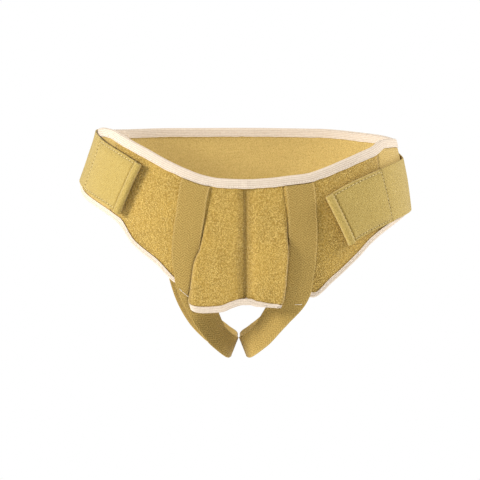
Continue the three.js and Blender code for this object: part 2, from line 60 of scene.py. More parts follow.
# The cloth body of the belt.
FRONT_HEIGHT = 128
FRONT_TOP = 8
BACK_RISE = 72
CLOTH = 2
SIDE_SEAM_ANGLE = 60
CENTRE_SEAM_WIDTH = 8
LEG_FLARE = 7
FLARE_HEIGHT = 60

# The bound edges.
BINDING_THICK = 0.7
WAIST_BINDING_WIDTH = 9.5
LEG_BINDING_WIDTH = 5.6
HEM_BINDING_WIDTH = 7
HEM_CORNER_WIDTH = 3.6  # of the hem's binding at the wearer's left corner

# The straps.
LEG_STRAP_WIDTH = 30
LEG_STRAP_THICK = 1.4
CROTCH_DROP = 163
CROTCH_SIDE = -7.7
STRAP_TAIL = 34
TAIL_ANGLE = 146
SIDE_STRAP_WIDTH = 55
SIDE_STRAP_THICK = 1.8
FOLD_LENGTH = 66
LIP_RADIUS = 3.2
LIP_LIFT = 3.4

FLAP_LIFT = 9.2

# Room between neighbours.
FIT = 0.5
LAYER = 0.6
INSET = BINDING_THICK + 2 * FIT
OVER_CLOTH = CLOTH + LAYER
OVER_BINDING = CLOTH + FIT + BINDING_THICK + LAYER

# Seams and stitches.
SEAM_VALLEY = 2.2  # how deep the centre seam's edges lie between the two halves of the front
VALLEY_WIDTH = 5
SEAM_CLEFT = 1.7  # how much deeper the middle of the seam lies
CLEFT_WIDTH = 2.7
SEAM_BULGE = 0.6  # of a binding over the centre seam
BULGE_WIDTH = 3.2
VALLEY_FADE = 16  # over which the valley begins under the waist binding and ends at the hem
SEAM_GROOVE = 0.2  # on each side of a seam
STITCH_LENGTH = 2.6
STITCH_GAP = 1.2
THREAD = 0.55
STITCH_INSET = 2.6  # of a stitch line from a side strap's edge
EDGE_STITCH_INSET = 1.3  # of a zigzag from a leg strap's edge
DENT_DEPTH = 0.5  # of the cloth under a stitch line
DENT_WIDTH = 0.9
# DENT_SHADE is the painted shade in a side strap's dent under a stitch line, at the dent's full depth.
DENT_SHADE = 0.5
ZIGZAG_WIDTH, ZIGZAG_PITCH = 1.6, 1.9
SEAM_ZIGZAG_WIDTH, SEAM_ZIGZAG_PITCH = 2.4, 1.6
END_INSET = 3  # of a stitch line from a strap's sewn end
SECOND_ROW = 10  # the same of a side strap's second line
SEAM_STITCH_ANGLE = 0.5  # of a side seam's stitches in front of it


def table(columns, *rows):
    names = columns.split()
    return [dict(zip(names, row)) for row in rows]


# Shares of FORM_HEIGHT from the bottom, of HIP_WIDTH / 2, and of HIP_DEPTH / 2 to the front and the back.
HIP_SECTIONS = table(
    "up half front back",
    (0.0, 0.89, 0.58, 0.74),
    (0.14, 0.935, 0.71, 0.83),
    (0.25, 0.96, 0.793, 0.926),
    (0.36, 0.982, 0.86, 0.992),
    (0.46, 0.997, 0.909, 1.025),
    (0.57, 1.0, 0.942, 1.025),
    (0.68, 0.988, 0.967, 0.992),
    (0.79, 0.958, 0.975, 0.926),
    (0.89, 0.917, 0.967, 0.86),
    (1.0, 0.887, 0.942, 0.826),
)

# The top edge as shares of BACK_RISE over FRONT_TOP, the leg line as shares of FRONT_HEIGHT under it, and
# the flare of the lower edge as shares of LEG_FLARE.
BELT_OUTLINE = table(
    "angle right_top left_top right_leg left_leg right_flare left_flare",
    (0, 0.0, 0.0, 0.855, 0.86, 0, 0),
    (12, 0.012, 0.02, 0.855, 0.86, 0, 0),
    (20, 0.055, 0.05, 0.855, 0.86, 0, 0),
    (28, 0.148, 0.082, 0.845, 0.895, 0, 0),
    (36, 0.272, 0.17, 0.82, 0.93, 0, 0),
    (44, 0.42, 0.285, 0.66, 0.795, 0, 0),
    (52, 0.555, 0.4, 0.51, 0.62, 0.15, 0.05),
    (57, 0.637, 0.467, 0.345, 0.5, 0.3, 0.1),
    (64, 0.73, 0.583, 0.243, 0.39, 0.5, 0.15),
    (75, 0.775, 0.615, 0.142, 0.285, 0.8, 0.2),
    (90, 0.78, 0.64, 0.03, 0.2, 1.0, 0.2),
    (112, 0.82, 0.75, 0.03, 0.12, 0.6, 0.1),
    (140, 0.87, 0.86, 0.05, 0.07, 0.1, 0),
    (180, 0.88, 0.88, 0.06, 0.06, 0, 0),
)

# Bearings of the middles of the leg straps, at shares of FRONT_HEIGHT below FRONT_TOP.
LEG_STRAP_LINE = table(
    "drop right left",
    (0.0, 23.8, 24.9),
    (0.4, 28.8, 28.0),
    (0.63, 30.6, 28.4),
    (0.8, 30.3, 28.3),
    (0.93, 28.9, 26.9),
    (1.0, 27.5, 25.2),
)

# The rise of the front between the straps, as shares of FLAP_LIFT, and its lap over the straps' inner
# edges, as shares of LEG_STRAP_WIDTH.
FLAP_RISE = table(
    "drop middle fold right_lap left_lap",
    (0.0, 0.0, 0.0, 0.0, 0.0),
    (0.22, 0.1, 0.0, 0.0, 0.0),
    (0.4, 0.24, 0.25, 0.0, 0.0),
    (0.54, 0.38, 0.9, 0.0, 0.0),
    (0.58, 0.43, 1.0, 0.07, 0.0),
    (0.65, 0.5, 1.0, 0.21, 0.0),
    (0.83, 0.63, 1.0, 0.46, 0.05),
    (1.0, 0.68, 1.0, 0.77, 0.18),
)

# The fold's section: places out from the strap's inner edge, flat and raised, as shares of
# LEG_STRAP_WIDTH, the share of the lap that moves each place, and its share of the lift.
FLAP_FOLD = table(
    "rest raised lap rise",
    (-0.56, -0.4, 0.2, 0.84),
    (-0.36, -0.18, 0.6, 0.95),
    (-0.24, -0.1, 0.9, 1.0),
    (-0.185, -0.05, 1.0, 0.8),
    (-0.15, -0.065, 0.92, 0.64),
    (-0.115, -0.1, 0.0, 0.62),
    (-0.085, -0.15, 0.0, 0.33),
    (-0.055, -0.125, 0.0, 0.08),
    (0.0, 0.0, 0.0, 0.0),
)

FOLD_CREST = max(row["raised"] for row in FLAP_FOLD[:-1])  # how far out the raised fold comes

# The hem's lower edge, from the middle of the front to the fold, as shares of FRONT_HEIGHT.
FLAP_HEM = table(
    "out right left",
    (0.0, 0.975, 0.975),
    (0.25, 0.994, 0.986),
    (0.55, 1.027, 0.989),
    (0.75, 1.033, 0.991),
    (0.9, 1.018, 0.993),
    (1.0, 0.987, 0.992),
)

# The free run of a leg strap, as shares of HIP_WIDTH / 2 out, of HIP_DEPTH / 2 back and of CROTCH_DROP
# down, the way that its face turns, and how wide it stays as a share of LEG_STRAP_WIDTH.
LEG_STRAP_RUN = table(
    "right left back down face_out face_back face_down wide",
    (0.203, 0.232, -0.755, 0.797, -0.42, -0.86, 0.0, 1.0),
    (0.134, 0.144, -0.69, 0.918, -0.64, -0.7, -0.15, 0.97),
    (0.07, 0.073, -0.62, 0.982, -0.82, -0.5, 0.0, 0.88),
    (0.036, 0.036, -0.53, 0.998, -0.92, -0.15, 0.34, 0.74),
    (0.036, 0.036, -0.34, 0.998, -0.92, 0.0, 0.36, 0.7),
    (0.04, 0.04, -0.04, 1.0, -0.9, 0.05, 0.42, 0.72),
    (0.065, 0.065, 0.25, 0.985, -0.75, 0.25, 0.6, 0.85),
    (0.15, 0.15, 0.49, 0.935, -0.42, 0.45, 0.78, 1.0),
    (0.255, 0.255, 0.7, 0.835, -0.1, 0.68, 0.72, 1.0),
    (0.345, 0.345, 0.87, 0.67, 0.15, 0.88, 0.44, 1.0),
    (0.405, 0.405, 0.965, 0.42, 0.3, 0.93, 0.16, 1.0),
)

# The middles of the side straps, from the grip to the sewn end, with heights as shares of BACK_RISE.
SIDE_STRAP_LINE = table(
    "right_angle right_up left_angle left_up",
    (50.2, -0.14, 41.0, -0.58),
    (60.5, 0.06, 52.5, -0.355),
    (73, 0.245, 64, -0.19),
    (86, 0.37, 77, -0.075),
    (103, 0.425, 94, 0.02),
    (121, 0.43, 121, 0.29),
)

SIDES = {"right": -1, "left": 1}


def mix(a, b, t):
    return a + (b - a) * t


def clamp(x, low=0.0, high=1.0):
    return max(low, min(high, x))


def steps(start, end, count):
    return [mix(start, end, i / count) for i in range(count + 1)]


def curve_of(rows, key, value):
    """A smooth curve through one column of a table, read by another, that never passes beyond the rows on
    either side and is level at both ends."""
    xs = [row[key] for row in rows]
    ys = [row[value] for row in rows]
    climbs = [(y1 - y0) / (x1 - x0) for x0, x1, y0, y1 in zip(xs, xs[1:], ys, ys[1:])]
    slopes = [0.0]
    for before, after in zip(climbs, climbs[1:]):
        slopes.append(2 * before * after / (before + after) if before * after > 0 else 0.0)
    slopes.append(0.0)

    def curve(x):
        x = clamp(x, xs[0], xs[-1])
        i = 0
        while i < len(xs) - 2 and x > xs[i + 1]:
            i += 1
        width = xs[i + 1] - xs[i]
        t = (x - xs[i]) / width
        start, end = t * (1 - t) ** 2, t * t * (t - 1)
        bend = width * (start * slopes[i] + end * slopes[i + 1])
        return mix(ys[i], ys[i + 1], t * t * (3 - 2 * t)) + bend

    return curve


def by_side(rows, key, ending=""):
    return {side: curve_of(rows, key, side + ending) for side in SIDES}


# The hip form.
half_width = curve_of(HIP_SECTIONS, "up", "half")
front_depth = curve_of(HIP_SECTIONS, "up", "front")
back_depth = curve_of(HIP_SECTIONS, "up", "back")


def form_point(angle, z):
    up = (z - FORM_BOTTOM) / FORM_HEIGHT
    sine, cosine = math.sin(math.radians(angle)), math.cos(math.radians(angle))
    across = half_width(up) * HIP_WIDTH / 2
    deep = (front_depth if cosine > 0 else back_depth)(up) * HIP_DEPTH / 2
    total = abs(sine / across) ** SQUARENESS + abs(cosine / deep) ** SQUARENESS
    reach = total ** (-1 / SQUARENESS)
    return Vector((reach * sine, -reach * cosine, z))


def outward(angle, z):
    along = form_point(angle + 0.5, z) - form_point(angle - 0.5, z)
    rise = form_point(angle, z + 1) - form_point(angle, z - 1)
    return along.cross(rise).normalized()


def locate(point):
    return math.degrees(math.atan2(point.x, -point.y)), point.z


def degrees_per_mm(angle, z):
    return 1 / (form_point(angle + 0.5, z) - form_point(angle - 0.5, z)).length


# The belt's outline on the form.
top_share = by_side(BELT_OUTLINE, "angle", "_top")
leg_share = by_side(BELT_OUTLINE, "angle", "_leg")
flare_share = by_side(BELT_OUTLINE, "angle", "_flare")


def side_and_angle(angle):
    angle = (angle + 180) % 360 - 180
    return ("right" if angle < 0 else "left"), abs(angle)


def drop_to(share):
    return FRONT_TOP - FRONT_HEIGHT * share


def drop_of(z):
    return (FRONT_TOP - z) / FRONT_HEIGHT


def top_edge(angle):
    side, away = side_and_angle(angle)
    return FRONT_TOP + BACK_RISE * top_share[side](away)


def leg_edge(angle):
    side, away = side_and_angle(angle)
    return drop_to(leg_share[side](away))


def on_belt(angle, z, off):
    """The cloth's inner face, or a point off it."""
    side, away = side_and_angle(angle)
    high = clamp((z - leg_edge(angle)) / FLARE_HEIGHT)
    flare = LEG_FLARE * flare_share[side](away) * (1 - high) ** 2
    return form_point(angle, z) + outward(angle, z) * (off + flare)


def upright(edge, angle):
    """How much longer a distance square to an edge becomes when it is measured upright."""
    run = (form_point(angle + 1, edge(angle)) - form_point(angle - 1, edge(angle))).length
    return math.hypot(1, (edge(angle + 1) - edge(angle - 1)) / run)


def top_inset(angle, inset):
    return top_edge(angle) - inset * upright(top_edge, angle)


def leg_inset(angle, inset):
    return leg_edge(angle) + inset * upright(leg_edge, angle)


# Meshes.


def new_object(name, points, faces, uvs, painted_shades, material):
    mesh = bpy.data.meshes.new(name)
    mesh.from_pydata([p * MM for p in points], [], faces)
    # The crease attribute carries painted shade: the materials darken the colour by it where shade falls in
    # folds, seams and crevices.
    mesh.attributes.new("crease", "FLOAT", "POINT").data.foreach_set("value", painted_shades)
    layer = mesh.uv_layers.new(name="cloth")
    flat = [number for face in uvs for uv in face for number in uv]
    layer.data.foreach_set("uv", flat)
    mesh.polygons.foreach_set("use_smooth", [True] * len(mesh.polygons))
    mesh.materials.append(material)
    mesh.update()
    obj = bpy.data.objects.new(name, mesh)
    bpy.context.scene.collection.objects.link(obj)
    return obj


def run_lengths(points):
    lengths = [0.0]
    for a, b in zip(points, points[1:]):
        lengths.append(lengths[-1] + (b - a).length)
    return lengths


def cloth_between(name, inner, outer, material, ring=False, painted_shades=None):
    """A closed piece between two grids of points. Its UV map is in metres: along its rows, then across.
    The grid of painted shades tells from 0 to 1 how deep each place lies in a fold or seam, and so how far
    painted shade darkens its colour there."""
    rows, columns = len(inner), len(inner[0])
    grids = (inner, outer)
    points = [p for grid in grids for row in grid for p in row]
    middle = [row[columns // 2] for row in outer]
    along = [s * MM for s in run_lengths(middle + middle[:1])]
    across = [s * MM for s in run_lengths(outer[rows // 2])]
    corners = []

    def quad(*places):
        corners.append(places)

    last = columns - 1
    for i in range(rows if ring else rows - 1):
        for j in range(last):
            quad((1, i, j), (1, i + 1, j), (1, i + 1, j + 1), (1, i, j + 1))
            quad((0, i, j), (0, i, j + 1), (0, i + 1, j + 1), (0, i + 1, j))
        quad((0, i, 0), (0, i + 1, 0), (1, i + 1, 0), (1, i, 0))
        quad((1, i, last), (1, i + 1, last), (0, i + 1, last), (0, i, last))
    if not ring:
        for j in range(last):
            quad((0, 0, j), (1, 0, j), (1, 0, j + 1), (0, 0, j + 1))
            quad((1, rows - 1, j), (0, rows - 1, j), (0, rows - 1, j + 1), (1, rows - 1, j + 1))
    faces = [[(layer * rows + i % rows) * columns + j for layer, i, j in places] for places in corners]
    uvs = [[(along[i], across[j]) for _, i, j in places] for places in corners]
    starts = [[points[place] for place in face[:3]] for face in faces]
    volume = sum(a.dot((b - a).cross(c - a)) for a, b, c in starts)
    if volume < 0:
        faces = [face[::-1] for face in faces]
        uvs = [uv[::-1] for uv in uvs]
    deep = [share for row in painted_shades for share in row] if painted_shades else [0.0] * (rows * columns)
    return new_object(name, points, faces, uvs, deep * 2, material)


def hermite(a, b, slope_a, slope_b, t):
    ends = a * (1 + 2 * t) * (1 - t) ** 2 + b * t * t * (3 - 2 * t)
    return ends + slope_a * t * (1 - t) ** 2 + slope_b * t * t * (t - 1)


SPLINE_FINENESS = 40  # places measured in each span
TANGENT_REACH = 0.01  # of a span, to each side
SHORTEST_ROOT, SHORTEST = 1e-4, 1e-6  # keep two knots at one place from dividing by nothing


class Spline:
    """A smooth line through points, centripetal unless it is even, with places shared out by length."""

    def __init__(self, points, even=False, fineness=SPLINE_FINENESS):
        first, last = 2 * points[0] - points[1], 2 * points[-1] - points[-2]
        self.points = [first, *points, last]
        self.even = even
        self.spans = len(points) - 1
        self.places = steps(0, self.spans, fineness * self.spans)
        self.lengths = run_lengths([self.at(place) for place in self.places])
        self.length = self.lengths[-1]

    def at(self, place):
        i = min(int(place), self.spans - 1)
        p0, p1, p2, p3 = self.points[i : i + 4]
        if self.even:
            return hermite(p1, p2, (p2 - p0) / 2, (p3 - p1) / 2, place - i)
        roots = [(b - a).length ** 0.5 for a, b in ((p0, p1), (p1, p2), (p2, p3))]
        d0, d1, d2 = (max(root, SHORTEST_ROOT) for root in roots)
        leave = ((p1 - p0) / d0 - (p2 - p0) / (d0 + d1) + (p2 - p1) / d1) * d1
        reach = ((p2 - p1) / d1 - (p3 - p1) / (d1 + d2) + (p3 - p2) / d2) * d1
        return hermite(p1, p2, leave, reach, place - i)

    def place_at(self, length):
        length = clamp(length, 0, self.length)
        low, high = 0, len(self.lengths) - 1
        while high - low > 1:
            middle = (low + high) // 2
            if self.lengths[middle] <= length:
                low = middle
            else:
                high = middle
        t = (length - self.lengths[low]) / (self.lengths[high] - self.lengths[low])
        return mix(self.places[low], self.places[high], t)

    def tangent(self, place):
        before, after = max(0, place - TANGENT_REACH), min(self.spans, place + TANGENT_REACH)
        return (self.at(after) - self.at(before)).normalized()


EDGE_TURNS = (12, 38, 62, 90)  # round a strap's rounded edge
BESIDE_STITCH = (-1.4, -0.7, 0, 0.7, 1.4)  # columns about a stitch line, in dent widths


def rounded_columns(width, count, radius, stitch=0):
    """Places across a strap with the share of its thickness there, rounded off at both edges and closer
    together beside a stitch line."""
    turns = [math.radians(turn) for turn in EDGE_TURNS]
    edge = [(radius * (1 - math.cos(turn)), math.sin(turn)) for turn in turns]
    if stitch:
        edge += [(stitch + part * DENT_WIDTH, 1.0) for part in BESIDE_STITCH]
    low = [(-width / 2 + inset, share) for inset, share in edge]
    start = edge[-1][0]
    flat = [(w, 1.0) for w in steps(-width / 2 + start, width / 2 - start, count)[1:-1]]
    return [*low, *flat, *[(-w, share) for w, share in reversed(low)]]


def dent(*distances):
    """How far the cloth is drawn in at these distances from its stitch lines."""
    return DENT_DEPTH * max(math.exp(-((distance / DENT_WIDTH) ** 2)) for distance in distances)


# Materials. The patterns' sizes are in metres, and a noise's scale is how often it repeats in one.
TWILL_PITCH = 0.0026
TWILL_TURN = 0.0042  # where the herringbone changes its way
SELVEDGE = (0.0134, 0.0142)  # from the strap's middle
ELASTIC_RIB = 0.0016
TAPE_RIB = 0.0019
TAPE_CORD = 0.0017
LOOP_TUFTS, LOOP_FIBRES, LOOP_PATCHES = 640.0, 1100, 40
WEB_FUZZ, ELASTIC_FUZZ, TAPE_FUZZ = 900, 850, 420
NOISE_ROUGHNESS = 0.6


def tree_node(tree, kind, inputs=(), **settings):
    made = tree.nodes.new(kind)
    for key, value in settings.items():
        setattr(made, key, value)
    for key, value in dict(inputs).items():
        if isinstance(value, bpy.types.NodeSocket):
            tree.links.new(value, made.inputs[key])
        else:
            made.inputs[key].default_value = value
    return made


def shader_node(tree, kind, inputs=(), **settings):
    return tree_node(tree, "ShaderNode" + kind, inputs, **settings).outputs[0]


def linear(colour):
    """A hex colour as a shader takes it."""
    parts = [int(colour[i : i + 2], 16) / 255 for i in (1, 3, 5)]
    return (*[c / 12.92 if c <= 0.04045 else ((c + 0.055) / 1.055) ** 2.4 for c in parts], 1.0)


def new_material(name, roughness, sheen):
    made = bpy.data.materials.new(name)
    made.use_nodes = True
    surface = made.node_tree.nodes["Principled BSDF"]
    surface.inputs["Roughness"].default_value = roughness
    surface.inputs["Specular IOR Level"].default_value = 0.2
    surface.inputs["Sheen Weight"].default_value = sheen
    surface.inputs["Sheen Roughness"].default_value = 0.5
    return made, made.node_tree, surface


def maths(tree, operation, *values):
    return shader_node(tree, "Math", dict(enumerate(values)), operation=operation)


def blend(tree, share, low, high):
    """A share of the way from one colour to another, by the Mix node's sockets for colours."""
    return tree_node(tree, "ShaderNodeMix", {0: share, 6: low, 7: high}, data_type="RGBA").outputs[2]


def specks(tree, where, scale, detail=2.0):
    grain = {"Vector": where, "Scale": scale, "Detail": detail, "Roughness": NOISE_ROUGHNESS}
    return shader_node(tree, "TexNoise", grain)


def stretch_range(tree, value, low, high, to_low=0.0, to_high=1.0):
    return shader_node(
        tree,
        "MapRange",
        {"Value": value, "From Min": low, "From Max": high, "To Min": to_low, "To Max": to_high},
    )


def bump(tree, surface, height, distance):
    normal = shader_node(tree, "Bump", {"Height": height, "Distance": distance})
    tree.links.new(normal, surface.inputs["Normal"])


def object_places(tree):
    return tree.nodes.new("ShaderNodeTexCoord").outputs["Object"]


def with_painted_shade(tree, colour, shade, most):
    """The colour with painted shade: darker where the cloth lies in a fold or seam, by the crease attribute.
    """
    deep = tree.nodes.new("ShaderNodeAttribute")
    deep.attribute_name = "crease"
    return blend(tree, maths(tree, "MULTIPLY", deep.outputs["Fac"], most), colour, linear(shade))


def cloth_places(tree):
    """The UV map, and its two numbers in metres: along the cloth and across it."""
    uv = tree.nodes.new("ShaderNodeTexCoord").outputs["UV"]
    parts = tree.nodes.new("ShaderNodeSeparateXYZ")
    tree.links.new(uv, parts.inputs[0])
    return uv, parts.outputs[0], parts.outputs[1]


def loop_cloth():
    made, tree, surface = new_material("loop cloth", roughness=0.95, sheen=0.3)
    where = object_places(tree)
    cells = {"Vector": where, "Scale": LOOP_TUFTS, "Detail": 1.0, "Roughness": NOISE_ROUGHNESS}
    tufts = shader_node(tree, "TexVoronoi", cells)
    loops = specks(tree, where, LOOP_FIBRES)
    patches = specks(tree, where, LOOP_PATCHES)
    pile = maths(tree, "SUBTRACT", loops, maths(tree, "MULTIPLY", tufts, 0.5))
    shade = stretch_range(tree, pile, -0.02, 0.42)
    colour = blend(tree, shade, linear("#a78435"), linear("#eecc75"))
    worn = stretch_range(tree, patches, 0.35, 0.65, to_high=0.3)
    colour = blend(tree, worn, colour, linear("#cda548"))
    # Painted shade: darker in the centre seam's valley and under the front's fold.
    tree.links.new(with_painted_shade(tree, colour, "#5a4216", most=0.8), surface.inputs["Base Color"])
    bump(tree, surface, pile, distance=0.0012)
    return made


def webbing():
    made, tree, surface = new_material("webbing", roughness=0.85, sheen=0.15)
    uv, along, across = cloth_places(tree)
    zigzag = maths(tree, "PINGPONG", across, TWILL_TURN)
    slope = maths(tree, "ADD", along, zigzag)
    twill = maths(tree, "SINE", maths(tree, "MULTIPLY", slope, math.tau / TWILL_PITCH))
    fuzz = stretch_range(tree, specks(tree, uv, WEB_FUZZ), 0.25, 0.75)
    from_middle = maths(tree, "ABSOLUTE", maths(tree, "SUBTRACT", across, LEG_STRAP_WIDTH * MM / 2))
    selvedge = stretch_range(tree, from_middle, *SELVEDGE)
    weave = maths(tree, "ADD", maths(tree, "MULTIPLY", twill, 0.24), fuzz)
    colour = blend(tree, stretch_range(tree, weave, -0.1, 1.1), linear("#8c6e2f"), linear("#c1a35b"))
    colour = blend(tree, maths(tree, "MULTIPLY", selvedge, 0.35), colour, linear("#c9ad68"))
    # Painted shadow: darker in the crevice where the front's fold lies over the leg strap.
    tree.links.new(with_painted_shade(tree, colour, "#3f2d0c", most=0.85), surface.inputs["Base Color"])
    bump(tree, surface, weave, distance=0.00035)
    return made


def brushed_elastic(name, dark, light):
    made, tree, surface = new_material(name, roughness=0.9, sheen=0.25)
    across = cloth_places(tree)[2]
    ribs = maths(tree, "SINE", maths(tree, "MULTIPLY", across, math.tau / ELASTIC_RIB))
    fuzz = stretch_range(tree, specks(tree, object_places(tree), ELASTIC_FUZZ), 0.25, 0.75)
    height = maths(tree, "ADD", maths(tree, "MULTIPLY", ribs, 0.12), fuzz)
    colour = blend(tree, stretch_range(tree, height, 0.0, 1.0), linear(dark), linear(light))
    # Painted shade: darker in the dents under the side straps' stitch lines.
    tree.links.new(with_painted_shade(tree, colour, "#6b5222", most=0.7), surface.inputs["Base Color"])
    bump(tree, surface, height, distance=0.0005)
    return made


def binding_tape():
    made, tree, surface = new_material("binding tape", roughness=0.75, sheen=0.1)
    along, across = cloth_places(tree)[1:]
    ribs = maths(tree, "SINE", maths(tree, "MULTIPLY", across, math.tau / TAPE_RIB))
    cords = maths(tree, "SINE", maths(tree, "MULTIPLY", along, math.tau / TAPE_CORD))
    height = maths(tree, "ADD", ribs, maths(tree, "MULTIPLY", cords, 0.3))
    fuzz = specks(tree, object_places(tree), TAPE_FUZZ, detail=3)
    fuzz = stretch_range(tree, fuzz, 0.3, 0.7, -1.0, 1.0)
    shade = stretch_range(tree, maths(tree, "ADD", height, maths(tree, "MULTIPLY", fuzz, 0.5)), -1.6, 1.2)
    colour = blend(tree, shade, linear("#c9b59e"), linear("#e4d5c2"))
    tree.links.new(colour, surface.inputs["Base Color"])
    bump(tree, surface, height, distance=0.0001)
    return made


def thread(name, colour):
    made, _, surface = new_material(name, roughness=0.6, sheen=0.1)
    surface.inputs["Base Color"].default_value = linear(colour)
    return made


# The front.
strap_angle = by_side(LEG_STRAP_LINE, "drop")
flap_lap = by_side(FLAP_RISE, "drop", "_lap")
fold_lift = curve_of(FLAP_RISE, "drop", "fold")
middle_lift = curve_of(FLAP_RISE, "drop", "middle")
hem_share = by_side(FLAP_HEM, "out")

FLAP_COLUMNS = 5
WING_COLUMNS = 9
FOLD_START = FLAP_COLUMNS
FOLD_END = FOLD_START + len(FLAP_FOLD) - 1
LAST_COLUMN = FOLD_END + WING_COLUMNS
CORNER_COLUMN = FOLD_START + 2  # where the hem's binding ends
PLACES_PER_COLUMN = 4
SEAM_PLACES = 12  # between the seam and the first column
FRONT_ROWS = 72
LAP_COLUMNS = 16
LAP_ROUNDING = 0.6
SEAM_TUCK = 0.4  # of the front's cloth under the centre seam
SETTLE_ROUNDS, SETTLE_SHARE = 24, 0.6
DENT_END, DENT_FADE = 0.66, 10  # of the leg straps' sewn edges: a share of FRONT_HEIGHT, then millimetres

SEAM_HALF = CENTRE_SEAM_WIDTH / 2
seam_scale = degrees_per_mm(0, FRONT_TOP)


def strap_middle(side, z):
    return strap_angle[side](drop_of(z))


def front_section(side, z):
    """The middle of the cloth at a height: the bearing of the strap's inner edge, the degrees in a
    millimetre, and places out from that edge with their heights off the form."""
    middle = strap_middle(side, z)
    scale = degrees_per_mm(middle, z)
    edge = middle - LEG_STRAP_WIDTH / 2 * scale
    drop = drop_of(z)
    raised = fold_lift(drop)
    lap = LEG_STRAP_WIDTH * flap_lap[side](drop)
    fold = [
        (
            LEG_STRAP_WIDTH * mix(row["rest"], row["raised"], raised) + lap * row["lap"],
            FLAP_LIFT * raised * row["rise"],
        )
        for row in FLAP_FOLD
    ]
    start = ((SEAM_HALF - SEAM_TUCK) * seam_scale - edge) / scale
    lift = FLAP_LIFT * middle_lift(drop)
    flap = []
    for t in steps(0, 1, FLAP_COLUMNS):
        flap.append((mix(start, fold[0][0], t), mix(lift, fold[0][1], t * t * (3 - 2 * t))))
    seam = (SIDE_SEAM_ANGLE - edge) / scale
    wing = [(seam * t, 0.0) for t in steps(0, 1, WING_COLUMNS)]
    return edge, scale, [*flap[:-1], *fold, *wing[1:]]


def section_point(places, column):
    """A place on the smooth line through a section, and the way that faces out of the cloth there."""
    i = min(int(column), len(places) - 2)
    t = column - i
    spots = [Vector(places[clamp(k, 0, len(places) - 1)]) for k in range(i - 1, i + 3)]
    lengths = [max((b - a).length, SHORTEST) for a, b in zip(spots, spots[1:])]
    ways = [(b - a) / length for a, b, length in zip(spots, spots[1:], lengths)]
    leave = (ways[0] * lengths[1] + ways[1] * lengths[0]) / (lengths[0] + lengths[1]) if i else ways[1]
    at_end = i + 2 > len(places) - 1
    reach = ways[1] if at_end else (ways[1] * lengths[2] + ways[2] * lengths[1]) / (lengths[1] + lengths[2])
    spot = hermite(spots[1], spots[2], leave * lengths[1], reach * lengths[1], t)
    way = leave.lerp(reach, t).normalized()
    return spot, Vector((-way.y, way.x))


def front_angle(side, column, z):
    edge, scale, places = front_section(side, z)
    return SIDES[side] * (edge + section_point(places, column)[0].x * scale)


def on_front(side, column, z, *offs):
    """Points off the middle of the front's cloth, square to it."""
    edge, scale, places = front_section(side, z)
    spot, way = section_point(places, column)
    made = []
    for off in offs:
        place = spot + way * off
        made.append(on_belt(SIDES[side] * (edge + place.x * scale), z, CLOTH / 2 + place.y))
    return made


def front_bottom(side, column, inset):
    """The height of the front's bottom edge on a column, or of a line inset from it."""
    corner = CORNER_COLUMN + 1
    if column <= corner:
        return drop_to(hem_share[side](column / corner)) + inset
    if column < FOLD_END:
        share = (column - corner) / (FOLD_END - corner)
        return mix(front_bottom(side, corner, inset), front_bottom(side, FOLD_END, inset), share)
    z = drop_to(0.5)
    for _ in range(SETTLE_ROUNDS):
        z = mix(z, leg_inset(front_angle(side, column, z), inset), SETTLE_SHARE)
    return z


def valley_depth(from_seam, z):
    """How far the front dips towards the centre seam, by the distance from the seam's edge."""
    fade = clamp((FRONT_TOP - z) / VALLEY_FADE) * clamp((z - drop_to(1.0)) / VALLEY_FADE)
    return SEAM_VALLEY * fade * math.exp(-((max(0, from_seam) / VALLEY_WIDTH) ** 2))


def strap_dent(side, angle, z):
    """How far the front is drawn in beside the sewn edges of a leg strap."""
    from_middle = abs(angle - strap_middle(side, z)) / degrees_per_mm(angle, z)
    fade = clamp((z - drop_to(DENT_END)) / DENT_FADE)
    return dent(from_middle - LEG_STRAP_WIDTH / 2 - DENT_WIDTH / 2) * fade


UNDER_FOLD = FOLD_START + 4.6  # the column where the fold turns in over the strap
# Painted shade under the front's fold: the columns it fades over and how dark it lies on each side.
# CLEFT_SHADE is the painted shade in the centre seam's valley.
FOLD_SPREAD = 1.7
FOLD_SHADE = {"right": 1.0, "left": 0.7}
CLEFT_SHADE = 0.25


def front_painted_shade(side, column, z, from_seam):
    """How deep a place on the front lies in the centre seam's valley or under its own fold, as painted shade
    that darkens its colour there.
    """
    valley = valley_depth(from_seam, z) / SEAM_VALLEY * clamp(1 - from_seam / VALLEY_WIDTH)
    under_fold = fold_lift(drop_of(z)) * math.exp(-(((column - UNDER_FOLD) / FOLD_SPREAD) ** 2))
    return clamp(CLEFT_SHADE * valley + FOLD_SHADE[side] * under_fold)


def front_panel(side, material):
    inner, outer, painted_shades = [], [], []
    beyond = steps(1, LAST_COLUMN, (LAST_COLUMN - 1) * PLACES_PER_COLUMN)[1:]
    for column in [*steps(0, 1, SEAM_PLACES), *beyond]:
        top = top_inset(front_angle(side, column, FRONT_TOP), INSET)
        bottom = front_bottom(side, column, INSET)
        low, high, deep = [], [], []
        for t in steps(0, 1, FRONT_ROWS):
            z = mix(top, bottom, t)
            angle = abs(front_angle(side, column, z))
            from_seam = angle / seam_scale - SEAM_HALF
            from_side = (SIDE_SEAM_ANGLE - angle) / degrees_per_mm(SIDE_SEAM_ANGLE, z)
            groove = SEAM_GROOVE * math.exp(-((from_seam / DENT_WIDTH) ** 2))
            drawn = groove + dent(from_side) + strap_dent(side, angle, z)
            dip = valley_depth(from_seam, z)
            a, b = on_front(side, column, z, -CLOTH / 2 - dip, CLOTH / 2 - dip - drawn)
            low.append(a)
            high.append(b)
            deep.append(front_painted_shade(side, column, z, from_seam))
        inner.append(low)
        outer.append(high)
        painted_shades.append(deep)
    return cloth_between(f"front_cloth_{side}", inner, outer, material, painted_shades=painted_shades)


